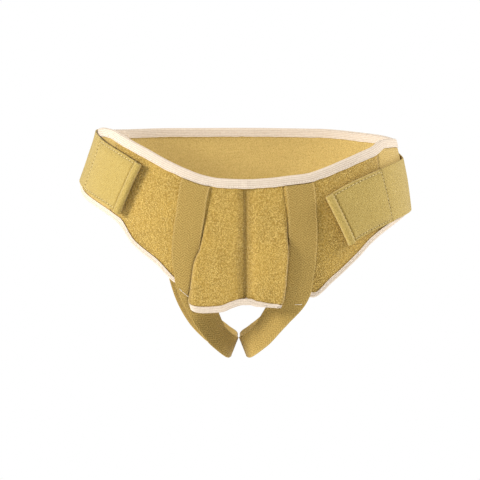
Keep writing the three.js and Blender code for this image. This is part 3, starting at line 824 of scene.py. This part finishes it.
def centre_seam(material):
    bottom = front_bottom("right", 0, INSET)
    inner, outer, painted_shades = [], [], []
    for w, share in rounded_columns(CENTRE_SEAM_WIDTH, LAP_COLUMNS, LAP_ROUNDING):
        angle = w * seam_scale
        cleft = math.exp(-((w / CLEFT_WIDTH) ** 2))
        low, high, deep = [], [], []
        for t in steps(0, 1, FRONT_ROWS):
            z = mix(top_inset(angle, INSET), bottom, t)
            valley = valley_depth(0, z)
            lift = FLAP_LIFT * middle_lift(drop_of(z)) - valley
            low.append(on_belt(angle, z, lift - SEAM_CLEFT))
            high.append(on_belt(angle, z, CLOTH - SEAM_CLEFT * cleft - SEAM_GROOVE * (1 - share) + lift))
            # painted shade, darker in the seam's cleft and its valley
            deep.append(mix(CLEFT_SHADE, 2 * CLEFT_SHADE, cleft) * valley / SEAM_VALLEY)
        inner.append(low)
        outer.append(high)
        painted_shades.append(deep)
    return cloth_between("centre_lap", inner, outer, material, painted_shades=painted_shades)


# The back.
BACK_COLUMNS = 360
BACK_ROWS = 16


def back_panel(material):
    inner, outer = [], []
    for angle in steps(SIDE_SEAM_ANGLE, 360 - SIDE_SEAM_ANGLE, BACK_COLUMNS):
        top, bottom = top_inset(angle, INSET), leg_inset(angle, INSET)
        heights = steps(top, bottom, BACK_ROWS)
        seams = (SIDE_SEAM_ANGLE, 360 - SIDE_SEAM_ANGLE)
        depth = dent(*[(angle - seam) / degrees_per_mm(seam, heights[0]) for seam in seams])
        inner.append([on_belt(angle, z, 0) for z in heights])
        outer.append([on_belt(angle, z, CLOTH - depth) for z in heights])
    return cloth_between("back_cloth", inner, outer, material)


# Bindings.
BINDING_STITCH = 1.9  # of the stitch line from a binding's inner edge
BINDING_DENT, BINDING_DENT_WIDTH = 0.3, 0.6
BESIDE_ROW = (-0.9, -0.45, 0, 0.45)  # columns about the stitch line
TAPE_PARTS = (0.6, 0.3)  # columns between a tape's edge and its fold
BEND_STEP = 20  # degrees between the columns round the fold
TAPE_EDGE = ((0, 0.3), (0.25, 0.75), (0.7, 1.0))  # in from a tape's edge, with its share of the thickness
PUCKER, PUCKER_STEP = 0.16, 0.31  # how far a tape swells, and how fast that changes along it
WAVER, WAVER_STEP = 0.5, 0.17  # the same of its width


def tape_section(width):
    """The folded tape from its inside edge over the fold to its outside edge: off the middle of the
    cloth, into the cloth from the folded edge, the way out of the tape, and its share of the thickness."""
    middle = CLOTH / 2 + FIT + BINDING_THICK / 2
    fold = middle + BINDING_THICK / 2
    leg = [(width - inset, share) for inset, share in TAPE_EDGE]
    leg += [(mix(fold, width, part), 1.0) for part in TAPE_PARTS]
    inside = [(-middle, into, -1.0, 0.0, share) for into, share in leg]
    beside = [(width - BINDING_STITCH + part, 1.0) for part in BESIDE_ROW]
    outside = [(middle, into, 1.0, 0.0, share) for into, share in sorted([*leg, *beside])]
    turns = [math.radians(turn) for turn in range(-90, 91, BEND_STEP)]
    ways = [(math.sin(turn), math.cos(turn)) for turn in turns]
    bend = [(middle * sine, fold - middle * cosine, sine, -cosine, 1.0) for sine, cosine in ways]
    return [*inside, *bend, *outside]


def tape(name, stations, widths, material, ring=False):
    """Folded tape along stations, which are functions from a place in its section to a point."""
    inner, outer = [], []
    for number, (station, width) in enumerate(zip(stations, widths)):
        pucker = PUCKER * noise.noise(Vector((number * PUCKER_STEP, len(name), 0)))
        width += WAVER * noise.noise(Vector((number * WAVER_STEP, 0, len(name))))
        low, high = [], []
        for off, into, way_off, way_into, share in tape_section(width):
            half = BINDING_THICK / 2 * share
            drawn = BINDING_DENT * math.exp(-(((into - width + BINDING_STITCH) / BINDING_DENT_WIDTH) ** 2))
            swell = (pucker - drawn) * way_off if off > 0 else 0
            low.append(station(into - way_into * half, off + swell - way_off * half))
            high.append(station(into + way_into * half, off + swell + way_off * half))
        inner.append(low)
        outer.append(high)
    return cloth_between(name, inner, outer, material, ring)


def seam_bulge(from_middle, off):
    """How much a binding rises over the centre seam, outside the cloth only."""
    return off + SEAM_BULGE * math.exp(-((from_middle / BULGE_WIDTH) ** 4)) if off > 0 else off


def waist_station(angle):
    from_middle = ((angle + 180) % 360 - 180) / seam_scale
    return lambda into, off: on_belt(angle, top_inset(angle, into), CLOTH / 2 + seam_bulge(from_middle, off))


def leg_station(angle):
    return lambda into, off: on_belt(angle, leg_inset(angle, into), CLOTH / 2 + off)


def hem_station(side, column):
    height = front_bottom(side, column, 0)
    from_middle = front_angle(side, column, height) / seam_scale
    return lambda into, off: on_front(side, column, height + into, seam_bulge(from_middle, off))[0]


WAIST_STATIONS, WAIST_STITCHES = 540, 300
LEG_STATIONS, LEG_STITCHES = 300, 230
HEM_STATIONS = 40  # on each side
HEM_END = CORNER_COLUMN + 0.4


def leg_ends():
    """The bearings between which the leg line is bound, round the back from under one strap to the other."""
    ends = {}
    for side in SIDES:
        column = FOLD_END + 1
        ends[side] = front_angle(side, column, front_bottom(side, column, 0))
    return ends["left"], 360 + ends["right"]


def hem_columns():
    halves = {side: [(side, column) for column in steps(0, HEM_END, HEM_STATIONS)] for side in SIDES}
    return [*reversed(halves["right"]), *halves["left"][1:]]


def hem_width(side, column):
    if side == "right":
        return HEM_BINDING_WIDTH
    return mix(HEM_BINDING_WIDTH, HEM_CORNER_WIDTH, column / CORNER_COLUMN)


# Leg straps.
RAMP_END = 0.8
STRAP_SPANS = 240
STRAP_COLUMNS = 30
SEWN_START, SEWN_FRONT = 2, 78  # lengths of a leg strap between which it is sewn down the front
SLANT_REACH = 0.06
STRAP_LEAVES = 0.9  # the drop where a leg strap leaves the front
FRONT_KNOTS = 6  # down the front, before the strap's free run


def leg_strap_knots(side):
    sign = SIDES[side]

    def knot(angle, z, off, hold):
        return on_belt(angle, z, off), outward(angle, z), hold, 1

    start_angle = sign * strap_middle(side, FRONT_TOP)
    start = top_inset(start_angle, WAIST_BINDING_WIDTH + LAYER)
    leave = leg_edge(sign * strap_middle(side, drop_to(STRAP_LEAVES)))
    knots = []
    for t in steps(0, 1, FRONT_KNOTS):
        z = mix(start, leave, t)
        off = mix(OVER_CLOTH, OVER_BINDING, min(1, t / RAMP_END) ** 4)
        knots.append(knot(sign * strap_middle(side, z), z, off, 1))
    for row in LEG_STRAP_RUN:
        x = CROTCH_SIDE + sign * row[side] * HIP_WIDTH / 2
        point = Vector((x, row["back"] * HIP_DEPTH / 2, -row["down"] * CROTCH_DROP))
        face = Vector((sign * row["face_out"], row["face_back"], -row["face_down"]))
        knots.append((point, face, 0, row["wide"]))
    low = leg_edge(sign * TAIL_ANGLE)
    for t in steps(0, 1, 2):
        knots.append(knot(sign * TAIL_ANGLE, mix(low, low + STRAP_TAIL, t), OVER_BINDING, 1))
    return knots


# A leg strap's colour is darkened beside the front's fold as painted shadow; CREVICE_END is where that
# painted shadow stops.
CREVICE_WIDTH = 1.5  # of the dark line on a leg strap beside the front's fold
CREVICE_END = 130  # length of a leg strap down to where it has left the front


class LegStrap:
    def __init__(self, side):
        self.side = side
        self.knots = leg_strap_knots(side)
        self.middle = Spline([knot[0] for knot in self.knots])
        self.faces = Spline([knot[1] for knot in self.knots], even=True)

    def point(self, length, w, *heights):
        """Points at a length along the strap, a distance across it and heights over its underside."""
        place = self.middle.place_at(length)
        share = length / self.middle.length
        centre, along = self.middle.at(place), self.middle.tangent(place)
        across = along.cross(self.faces.at(place)).normalized()
        face = across.cross(along).normalized()
        k = min(int(place), len(self.knots) - 2)
        hold = mix(self.knots[k][2], self.knots[k + 1][2], place - k)
        foot = locate(centre)
        off = (centre - on_belt(*foot, 0)).dot(outward(*foot))
        flat = centre + across * w * mix(self.knots[k][3], self.knots[k + 1][3], place - k)
        angle, z = locate(flat)
        slant = max(0, 1 - share / SLANT_REACH)
        z = mix(z, top_inset(angle, WAIST_BINDING_WIDTH + LAYER), slant)
        out = face.lerp(outward(angle, z), hold).normalized()
        spot = flat.lerp(on_belt(angle, z, off), hold)
        return [spot + out * height for height in heights]

    def crevice(self, length, w, z):
        """How dark the painted shadow lies at a place on the strap, in the crevice beside the front's fold.
        """
        drop = drop_of(z)
        from_edge = LEG_STRAP_WIDTH / 2 - SIDES[self.side] * w
        fold = LEG_STRAP_WIDTH * (flap_lap[self.side](drop) + FOLD_CREST) + CLOTH / 2
        near = math.exp(-(((from_edge - fold - CREVICE_WIDTH / 2) / CREVICE_WIDTH) ** 2))
        return FOLD_SHADE[self.side] * near * fold_lift(drop) if length < CREVICE_END else 0.0

    def cloth(self, name, material):
        inner, outer, painted_shades = [], [], []
        middle = LEG_STRAP_THICK / 2
        for length in steps(0, self.middle.length, STRAP_SPANS):
            low, high, deep = [], [], []
            for w, share in rounded_columns(LEG_STRAP_WIDTH, STRAP_COLUMNS, middle):
                a, b = self.point(length, w, middle * (1 - share), middle * (1 + share))
                low.append(a)
                high.append(b)
                deep.append(self.crevice(length, w, b.z))
            inner.append(low)
            outer.append(high)
            painted_shades.append(deep)
        return cloth_between(name, inner, outer, material, painted_shades=painted_shades)


# Side straps.


def curl(s):
    return LIP_LIFT * max(0, 1 - s / (FOLD_LENGTH / 2)) ** 2


LIP_CREASE = 8.9  # from the grip's tip to the stitch line behind its roll
CREASE_DEPTH = 0.3
UPPER_LAYER = 1.5 * SIDE_STRAP_THICK + 0.25  # middle of the turned-back layer over the strap's base
TIP = 0.5  # where the roll takes its height from the curl

# Behind the roll the turned-back layer falls to its crease and rises to the flat: places from the tip,
# how far it has sunk at the first, how much of the fall is left at the second, and its swell at the third.
ROLL_END, FALL_MIDDLE, RISE_END, FLAT_START = 5.4, 7.3, 11, 13.5
ROLL_SAG, FALL_LEFT, RISE_SWELL = 0.35, 0.42, 0.15

LOWER_SPANS, UPPER_SPANS = 60, 22
PLAIN_SPANS, TURNED_SPANS = 60, 130
TURNED_ROOM = 6  # of the finer rows beyond the fold
SIDE_STRAP_COLUMNS = 8
SIDE_STRAP_PLACES = 40
ROLL_STEP = 15  # degrees between the rows round the roll
LOWER_END = LIP_RADIUS + 2
DENT_START = LIP_CREASE - 2


def side_strap_section(length):
    """The strap's middle line, from the sewn end to the grip, round it and back: place and height."""
    half = SIDE_STRAP_THICK / 2
    radius = LIP_RADIUS - half
    lower = [(s, curl(s) + half) for s in steps(length, LOWER_END, LOWER_SPANS)]
    turns = [math.radians(turn) for turn in range(0, 181, ROLL_STEP)]
    centre = curl(TIP) + LIP_RADIUS
    roll = [(LIP_RADIUS - radius * math.sin(turn), centre - radius * math.cos(turn)) for turn in turns]
    crown = centre + radius
    crease = curl(LIP_CREASE) + UPPER_LAYER - CREASE_DEPTH
    settle = [
        (ROLL_END, crown - ROLL_SAG),
        (FALL_MIDDLE, mix(crease, crown, FALL_LEFT)),
        (LIP_CREASE, crease),
        (RISE_END, curl(RISE_END) + UPPER_LAYER + RISE_SWELL),
    ]
    upper = [(s, curl(s) + UPPER_LAYER) for s in steps(FLAT_START, FOLD_LENGTH, UPPER_SPANS)]
    return [*lower, *roll, *settle, *upper]


class SideStrap:
    def __init__(self, side):
        rows = [
            Vector((SIDES[side] * row[side + "_angle"], FRONT_TOP + BACK_RISE * row[side + "_up"], 0))
            for row in SIDE_STRAP_LINE
        ]
        line = Spline(rows, even=True)
        spots = [line.at(place) for place in steps(0, line.spans, SIDE_STRAP_PLACES)]
        on_form = [on_belt(spot.x, spot.y, 0) for spot in spots]
        self.path = Spline(on_form, fineness=8)
        self.length = self.path.length
        self.middle = Spline([Vector((s, h, 0)) for s, h in side_strap_section(self.length)], fineness=6)

    def point(self, s, height, w):
        """A point at a distance from the grip's tip, a height over the base and a distance across."""
        place = self.path.place_at(s)
        centre = self.path.at(place)
        foot = locate(centre)
        across = self.path.tangent(place).cross(outward(*foot)).normalized()
        base = mix(OVER_CLOTH, OVER_BINDING, clamp(s / FOLD_LENGTH))
        return on_belt(*locate(centre + across * w), base + height)

    def cloth(self, name, material):
        inner, outer, painted_shades = [], [], []
        plain_end = self.middle.length - (FOLD_LENGTH + 2 * LIP_RADIUS + TURNED_ROOM)
        turned = steps(plain_end, self.middle.length, TURNED_SPANS)[1:]
        half_thick = SIDE_STRAP_THICK / 2
        columns = rounded_columns(SIDE_STRAP_WIDTH, SIDE_STRAP_COLUMNS, half_thick, STITCH_INSET)
        for length in [*steps(0, plain_end, PLAIN_SPANS), *turned]:
            place = self.middle.place_at(length)
            spot, way = self.middle.at(place), self.middle.tangent(place)
            normal = Vector((-way.y, way.x, 0))
            on_top = way.x > 0 and spot.x > DENT_START
            low, high, deep = [], [], []
            for w, share in columns:
                edge = SIDE_STRAP_WIDTH / 2 - abs(w) - STITCH_INSET
                rows = (edge, spot.x - LIP_CREASE, spot.x - FOLD_LENGTH + STITCH_INSET)
                drawn = dent(*rows) if on_top else 0
                half = half_thick * share
                below, above = spot - normal * half, spot + normal * (half - drawn)
                low.append(self.point(max(0, below.x), below.y, w))
                high.append(self.point(max(0, above.x), above.y, w))
                deep.append(DENT_SHADE * drawn / DENT_DEPTH)
            inner.append(low)
            outer.append(high)
            painted_shades.append(deep)
        return cloth_between(name, inner, outer, material, painted_shades=painted_shades)


# Stitches.


def node_group_of(name, inputs):
    """An empty Geometry Nodes tree with a geometry input and named sizes."""
    tree = bpy.data.node_groups.new(name, "GeometryNodeTree")
    tree.interface.new_socket("Geometry", in_out="INPUT", socket_type="NodeSocketGeometry")
    for label, kind in inputs:
        tree.interface.new_socket(label, in_out="INPUT", socket_type=kind)
    tree.interface.new_socket("Geometry", in_out="OUTPUT", socket_type="NodeSocketGeometry")
    return tree


def stitch_tree():
    """Lays one short thread on each edge of a line of edges."""
    kinds = {"Thread": "NodeSocketFloat", "Length": "NodeSocketFloat", "Material": "NodeSocketMaterial"}
    tree = node_group_of("stitches", kinds.items())
    given = tree.nodes.new("NodeGroupInput").outputs
    ends = tree_node(tree, "GeometryNodeInputMeshEdgeVertices")
    way = tree_node(
        tree,
        "ShaderNodeVectorMath",
        {0: ends.outputs["Position 2"], 1: ends.outputs["Position 1"]},
        operation="SUBTRACT",
    )
    size = tree_node(tree, "ShaderNodeVectorMath", {0: way.outputs[0]}, operation="LENGTH")
    share = tree_node(
        tree, "ShaderNodeMath", {0: size.outputs["Value"], 1: given["Length"]}, operation="DIVIDE"
    )
    turn = tree_node(tree, "FunctionNodeAlignRotationToVector", {"Vector": way.outputs[0]}, axis="Z")
    line = given["Geometry"]
    for label, value, kind in (("turn", turn, "QUATERNION"), ("share", share, "FLOAT")):
        kept = {"Geometry": line, "Name": label, "Value": value.outputs[0]}
        stored = tree_node(tree, "GeometryNodeStoreNamedAttribute", kept, data_type=kind, domain="EDGE")
        line = stored.outputs[0]
    middles = tree_node(tree, "GeometryNodeMeshToPoints", {"Mesh": line}, mode="EDGES")
    bead = tree_node(tree, "GeometryNodeMeshUVSphere", {"Segments": 6, "Rings": 5, "Radius": 0.5})
    sizes = {"X": given["Thread"], "Y": given["Thread"], "Z": given["Length"]}
    wide = tree_node(tree, "ShaderNodeCombineXYZ", sizes)
    shaped = tree_node(
        tree, "GeometryNodeTransform", {"Geometry": bead.outputs[0], "Scale": wide.outputs[0]}
    )
    named_turn = tree_node(tree, "GeometryNodeInputNamedAttribute", {"Name": "turn"}, data_type="QUATERNION")
    named_share = tree_node(tree, "GeometryNodeInputNamedAttribute", {"Name": "share"}, data_type="FLOAT")
    scale = tree_node(tree, "ShaderNodeCombineXYZ", {"X": 1.0, "Y": 1.0, "Z": named_share.outputs[0]})
    laid = tree_node(
        tree,
        "GeometryNodeInstanceOnPoints",
        {
            "Points": middles.outputs[0],
            "Instance": shaped.outputs[0],
            "Rotation": named_turn.outputs[0],
            "Scale": scale.outputs[0],
        },
    )
    real = tree_node(tree, "GeometryNodeRealizeInstances", {0: laid.outputs[0]})
    coated = tree_node(
        tree, "GeometryNodeSetMaterial", {"Geometry": real.outputs[0], "Material": given["Material"]}
    )
    output = tree.nodes.new("NodeGroupOutput")
    tree.links.new(coated.outputs[0], output.inputs[0])
    return tree


def sewn(name, threads, material, tree):
    """One thread piece from pairs of end points."""
    points = [p * MM for pair in threads for p in pair]
    edges = [(i, i + 1) for i in range(0, len(points), 2)]
    mesh = bpy.data.meshes.new(name + " ends")
    mesh.from_pydata(points, edges, [])
    holder = bpy.data.objects.new(name + " ends", mesh)
    bpy.context.scene.collection.objects.link(holder)
    modifier = holder.modifiers.new("stitches", "NODES")
    modifier.node_group = tree
    sizes = {"Thread": THREAD * MM, "Length": STITCH_LENGTH * MM, "Material": material}
    for item in tree.interface.items_tree:
        if item.in_out == "INPUT" and item.name in sizes:
            modifier[item.identifier] = sizes[item.name]
    graph = bpy.context.evaluated_depsgraph_get()
    made = bpy.data.meshes.new_from_object(holder.evaluated_get(graph))
    bpy.data.objects.remove(holder)
    made.name = name
    if not made.materials:
        made.materials.append(material)
    obj = bpy.data.objects.new(name, made)
    bpy.context.scene.collection.objects.link(obj)
    return obj


def running_stitch(place, length, start=0.0, long=STITCH_LENGTH):
    """Pairs of ends along place, a function of distance."""
    pitch = STITCH_LENGTH + STITCH_GAP
    count = int((length - start) / pitch)
    return [(place(start + i * pitch), place(start + i * pitch + long)) for i in range(count)]


def needle_hole_shadows(place, length, start=0.0):
    """Pairs of ends of dark beads in the gaps between the stitches of a row: painted shadow of the needle
    holes.
    """
    return running_stitch(place, length, start + STITCH_LENGTH, STITCH_GAP)


def zigzag_stitch(place, length, width, pitch):
    """Pairs of ends that zigzag about a line: place is a function of distance and of the way across."""
    count = int(length / pitch)
    spots = [place(i * pitch, width * (0.5 if i % 2 else -0.5)) for i in range(count)]
    return list(zip(spots, spots[1:]))


THREAD_PROUD = THREAD / 4  # of a stitch's middle over the cloth that it is drawn into


def leg_strap_stitches(strap):
    """Down both edges at the front, and round the end that is sewn on the back."""
    top = LEG_STRAP_THICK
    edge = LEG_STRAP_WIDTH / 2 - EDGE_STITCH_INSET
    tail = strap.middle.length - STRAP_TAIL
    threads = []
    for side in (-1, 1):

        def down_front(s, w):
            return strap.point(s + SEWN_START, side * edge + w, top)[0]

        def up_tail(s):
            return strap.point(tail + s, side * edge, top)[0]

        threads += zigzag_stitch(down_front, SEWN_FRONT - SEWN_START, ZIGZAG_WIDTH, ZIGZAG_PITCH)
        threads += running_stitch(up_tail, STRAP_TAIL - END_INSET)
    for end in (tail, strap.middle.length - END_INSET):
        threads += running_stitch(lambda w: strap.point(end, w - edge, top)[0], 2 * edge)
    return threads


# Short loose tacks on the leg straps: from a length along the strap and a distance across it to another.
TACK_THREADS = 3
TACKS = table(
    "side length across end_length end_across",
    ("right", 104.5, 12, 115, 5.3),
    ("left", 121, -5, 116.5, -11.5),
)


def tacks(side, strap):
    over = LEG_STRAP_THICK + THREAD / 5
    threads = []
    for row in TACKS:
        if row["side"] == side:
            lengths = steps(row["length"], row["end_length"], TACK_THREADS)
            acrosses = steps(row["across"], row["end_across"], TACK_THREADS)
            spots = [strap.point(s, w, over)[0] for s, w in zip(lengths, acrosses)]
            threads += zip(spots, spots[1:])
    return threads


EDGE_ROW_START, EDGE_ROW_END = LIP_CREASE + 1, FOLD_LENGTH - 2  # along the turned-back layer


def side_strap_rows(grip):
    """Along both edges of the turned-back layer, behind its roll, at its end, and across the sewn end: the
    place of each row by distance, its length and its start."""
    top = UPPER_LAYER + SIDE_STRAP_THICK / 2 - DENT_DEPTH + THREAD_PROUD
    edge = SIDE_STRAP_WIDTH / 2 - STITCH_INSET
    rows = []
    for across in (-edge, edge):
        rows.append((lambda s, w=across: grip.point(s, curl(s) + top, w), EDGE_ROW_END, EDGE_ROW_START))
    for s, height in (
        (LIP_CREASE, curl(LIP_CREASE) + top - CREASE_DEPTH),
        (FOLD_LENGTH - STITCH_INSET, top),
        (grip.length - END_INSET, SIDE_STRAP_THICK),
        (grip.length - SECOND_ROW, SIDE_STRAP_THICK),
    ):
        rows.append((lambda w, s=s, height=height: grip.point(s, height, w - edge), 2 * edge, 0))
    return rows


def seam_stitches():
    """A zigzag beside each side seam."""
    threads = []
    for sign in SIDES.values():
        angle = sign * (SIDE_SEAM_ANGLE - SEAM_STITCH_ANGLE)
        top = top_inset(angle, WAIST_BINDING_WIDTH)
        reach = top - leg_inset(angle, LEG_BINDING_WIDTH)

        def down_seam(s, w):
            return on_belt(angle + w * degrees_per_mm(angle, top), top - s, CLOTH - DENT_DEPTH / 2)

        threads += zigzag_stitch(down_seam, reach, SEAM_ZIGZAG_WIDTH, SEAM_ZIGZAG_PITCH)
    return threads


def binding_stitches(place, low, high, count, width):
    """A row along a binding, beside its inner edge: place maps a share of the way to a station."""
    over = CLOTH / 2 + FIT + BINDING_THICK - BINDING_DENT + THREAD_PROUD
    threads = []
    for start, end in zip(steps(low, high, count), steps(low, high, count)[1:]):
        begin, finish = place(start), place(mix(start, end, STITCH_LENGTH / (STITCH_LENGTH + STITCH_GAP)))
        threads.append((begin(width - BINDING_STITCH, over), finish(width - BINDING_STITCH, over)))
    return threads


# The stage.
ROOM_LIGHT = 0.22
PAPER_GLOW = 0.45  # keeps the floor's far edge as pale as the room
KEY_PLACE, KEY_SIZE, KEY_POWER = (-2.2, -1.2, 0.8), 0.8, 77
SIDE_PLACE, SIDE_SIZE, SIDE_POWER = (2.4, -0.4, 1.6), 1.2, 82
BELT_MIDDLE = Vector((0, 0, -0.05))
FLOOR_SIZE, FLOOR_HEIGHT = 5.2, -0.62
PAPER_SHADE = (0.85, 0.85, 0.85, 1)
CAMERA_PLACE, CAMERA_LENS, CAMERA_SENSOR = (-0.0064, -2.2, -0.053), 155.6, 36


def area_light(name, place, size, power):
    lamp = bpy.data.lights.new(name, "AREA")
    lamp.size, lamp.energy = size, power
    obj = bpy.data.objects.new(name, lamp)
    obj.location = place
    obj.rotation_euler = (BELT_MIDDLE - Vector(place)).to_track_quat("-Z", "Y").to_euler()
    bpy.context.scene.collection.objects.link(obj)


def room():
    """A soft room that lights the belt evenly and looks white behind it."""
    world = bpy.data.worlds.new("studio")
    world.use_nodes = True
    tree = world.node_tree
    soft = tree.nodes["Background"]
    soft.inputs["Color"].default_value = (1, 1, 1, 1)
    soft.inputs["Strength"].default_value = ROOM_LIGHT
    paper_white = shader_node(tree, "Background", {"Color": (1, 1, 1, 1), "Strength": 1.0})
    rays = tree.nodes.new("ShaderNodeLightPath")
    shares = {0: rays.outputs["Is Camera Ray"], 1: soft.outputs[0], 2: paper_white}
    seen = shader_node(tree, "MixShader", shares)
    tree.links.new(seen, tree.nodes["World Output"].inputs["Surface"])
    bpy.context.scene.world = world


def pale_floor():
    bpy.ops.mesh.primitive_plane_add(size=FLOOR_SIZE, location=(0, 0, FLOOR_HEIGHT))
    floor = bpy.context.object
    floor.name = "floor"
    paper, _, surface = new_material("paper", roughness=0.9, sheen=0)
    surface.inputs["Base Color"].default_value = PAPER_SHADE
    surface.inputs["Emission Color"].default_value = (1, 1, 1, 1)
    surface.inputs["Emission Strength"].default_value = PAPER_GLOW
    floor.data.materials.append(paper)


def front_camera():
    camera = bpy.data.cameras.new("camera")
    camera.lens = CAMERA_LENS
    camera.sensor_width = CAMERA_SENSOR
    obj = bpy.data.objects.new("camera", camera)
    obj.location = CAMERA_PLACE
    obj.rotation_euler = (math.radians(90), 0, 0)
    bpy.context.scene.collection.objects.link(obj)
    bpy.context.scene.camera = obj


def studio():
    bpy.context.scene.view_settings.view_transform = "Standard"
    room()
    area_light("key light", KEY_PLACE, KEY_SIZE, KEY_POWER)
    area_light("side light", SIDE_PLACE, SIDE_SIZE, SIDE_POWER)
    pale_floor()
    front_camera()


def wear(obj, slot, *nodes):
    """Puts a finished piece on the belt in place of its CAD nodes."""
    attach(obj, "root")
    if nodes:
        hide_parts(*nodes)
    return obj


def main():
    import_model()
    loop = loop_cloth()
    web = webbing()
    back_elastic = brushed_elastic("back elastic", "#b2924a", "#d9bb72")
    strap_elastic = brushed_elastic("strap elastic", "#a4883e", "#c8af65")
    tape_cloth = binding_tape()
    cream_thread = thread("cream thread", "#f0e6d8")
    tan_thread = thread("tan thread", "#cbac68")
    pale_thread = thread("pale thread", "#efdca4")
    # Dark beads that paint the shadow in the needle holes between a side strap's stitches.
    hole_shade = thread("needle hole shadows", "#4f3a14")

    panels = {side: wear(front_panel(side, loop), "loop_cloth", f"front_panel_{side}") for side in SIDES}
    seam = wear(centre_seam(loop), "loop_cloth", "centre_seam")
    back = wear(back_panel(back_elastic), "back_elastic", "back_panel")

    waist_line = [waist_station(angle) for angle in steps(0, 360, WAIST_STATIONS)[:-1]]
    waist = tape("waist_tape", waist_line, [WAIST_BINDING_WIDTH] * len(waist_line), tape_cloth, ring=True)
    leg_start, leg_end = leg_ends()
    leg_line = [leg_station(angle) for angle in steps(leg_start, leg_end, LEG_STATIONS)]
    legs = tape("leg_tape", leg_line, [LEG_BINDING_WIDTH] * len(leg_line), tape_cloth)
    hem_line = [hem_station(*place) for place in hem_columns()]
    hem = tape("hem_tape", hem_line, [hem_width(*place) for place in hem_columns()], tape_cloth)
    for binding, node in ((waist, "waist_binding"), (legs, "leg_binding"), (hem, "hem_binding")):
        wear(binding, "binding_tape", node)

    stitches = stitch_tree()

    def sew(name, threads, material, slot):
        return wear(sewn(name, threads, material, stitches), slot)

    sewn_seams = sew("seam_stitches", seam_stitches(), tan_thread, "loop_cloth")
    waist_row = binding_stitches(waist_station, 0, 360, WAIST_STITCHES, WAIST_BINDING_WIDTH)
    leg_row = binding_stitches(leg_station, leg_start, leg_end, LEG_STITCHES, LEG_BINDING_WIDTH)
    sewn_edges = sew("binding_stitches", waist_row + leg_row, cream_thread, "binding_tape")

    for side in SIDES:
        leg_strap, side_strap = LegStrap(side), SideStrap(side)
        web_piece = wear(leg_strap.cloth(f"leg_web_{side}", web), "webbing", f"leg_strap_{side}")
        band = side_strap.cloth(f"side_band_{side}", strap_elastic)
        grip = wear(band, "strap_elastic", f"side_strap_{side}")
        web_rows = leg_strap_stitches(leg_strap)
        web_threads = sew(f"leg_strap_stitches_{side}", web_rows, tan_thread, "webbing")
        tack_threads = sew(f"leg_strap_tack_{side}", tacks(side, leg_strap), cream_thread, "webbing")
        rows = side_strap_rows(side_strap)
        grip_rows = [pair for row in rows for pair in running_stitch(*row)]
        hole_shadow_rows = [pair for row in rows for pair in needle_hole_shadows(*row)]
        grip_threads = sew(f"side_strap_stitches_{side}", grip_rows, pale_thread, "strap_elastic")
        grip_hole_shadows = sew(f"side_strap_holes_{side}", hole_shadow_rows, hole_shade, "strap_elastic")

    studio()


main()
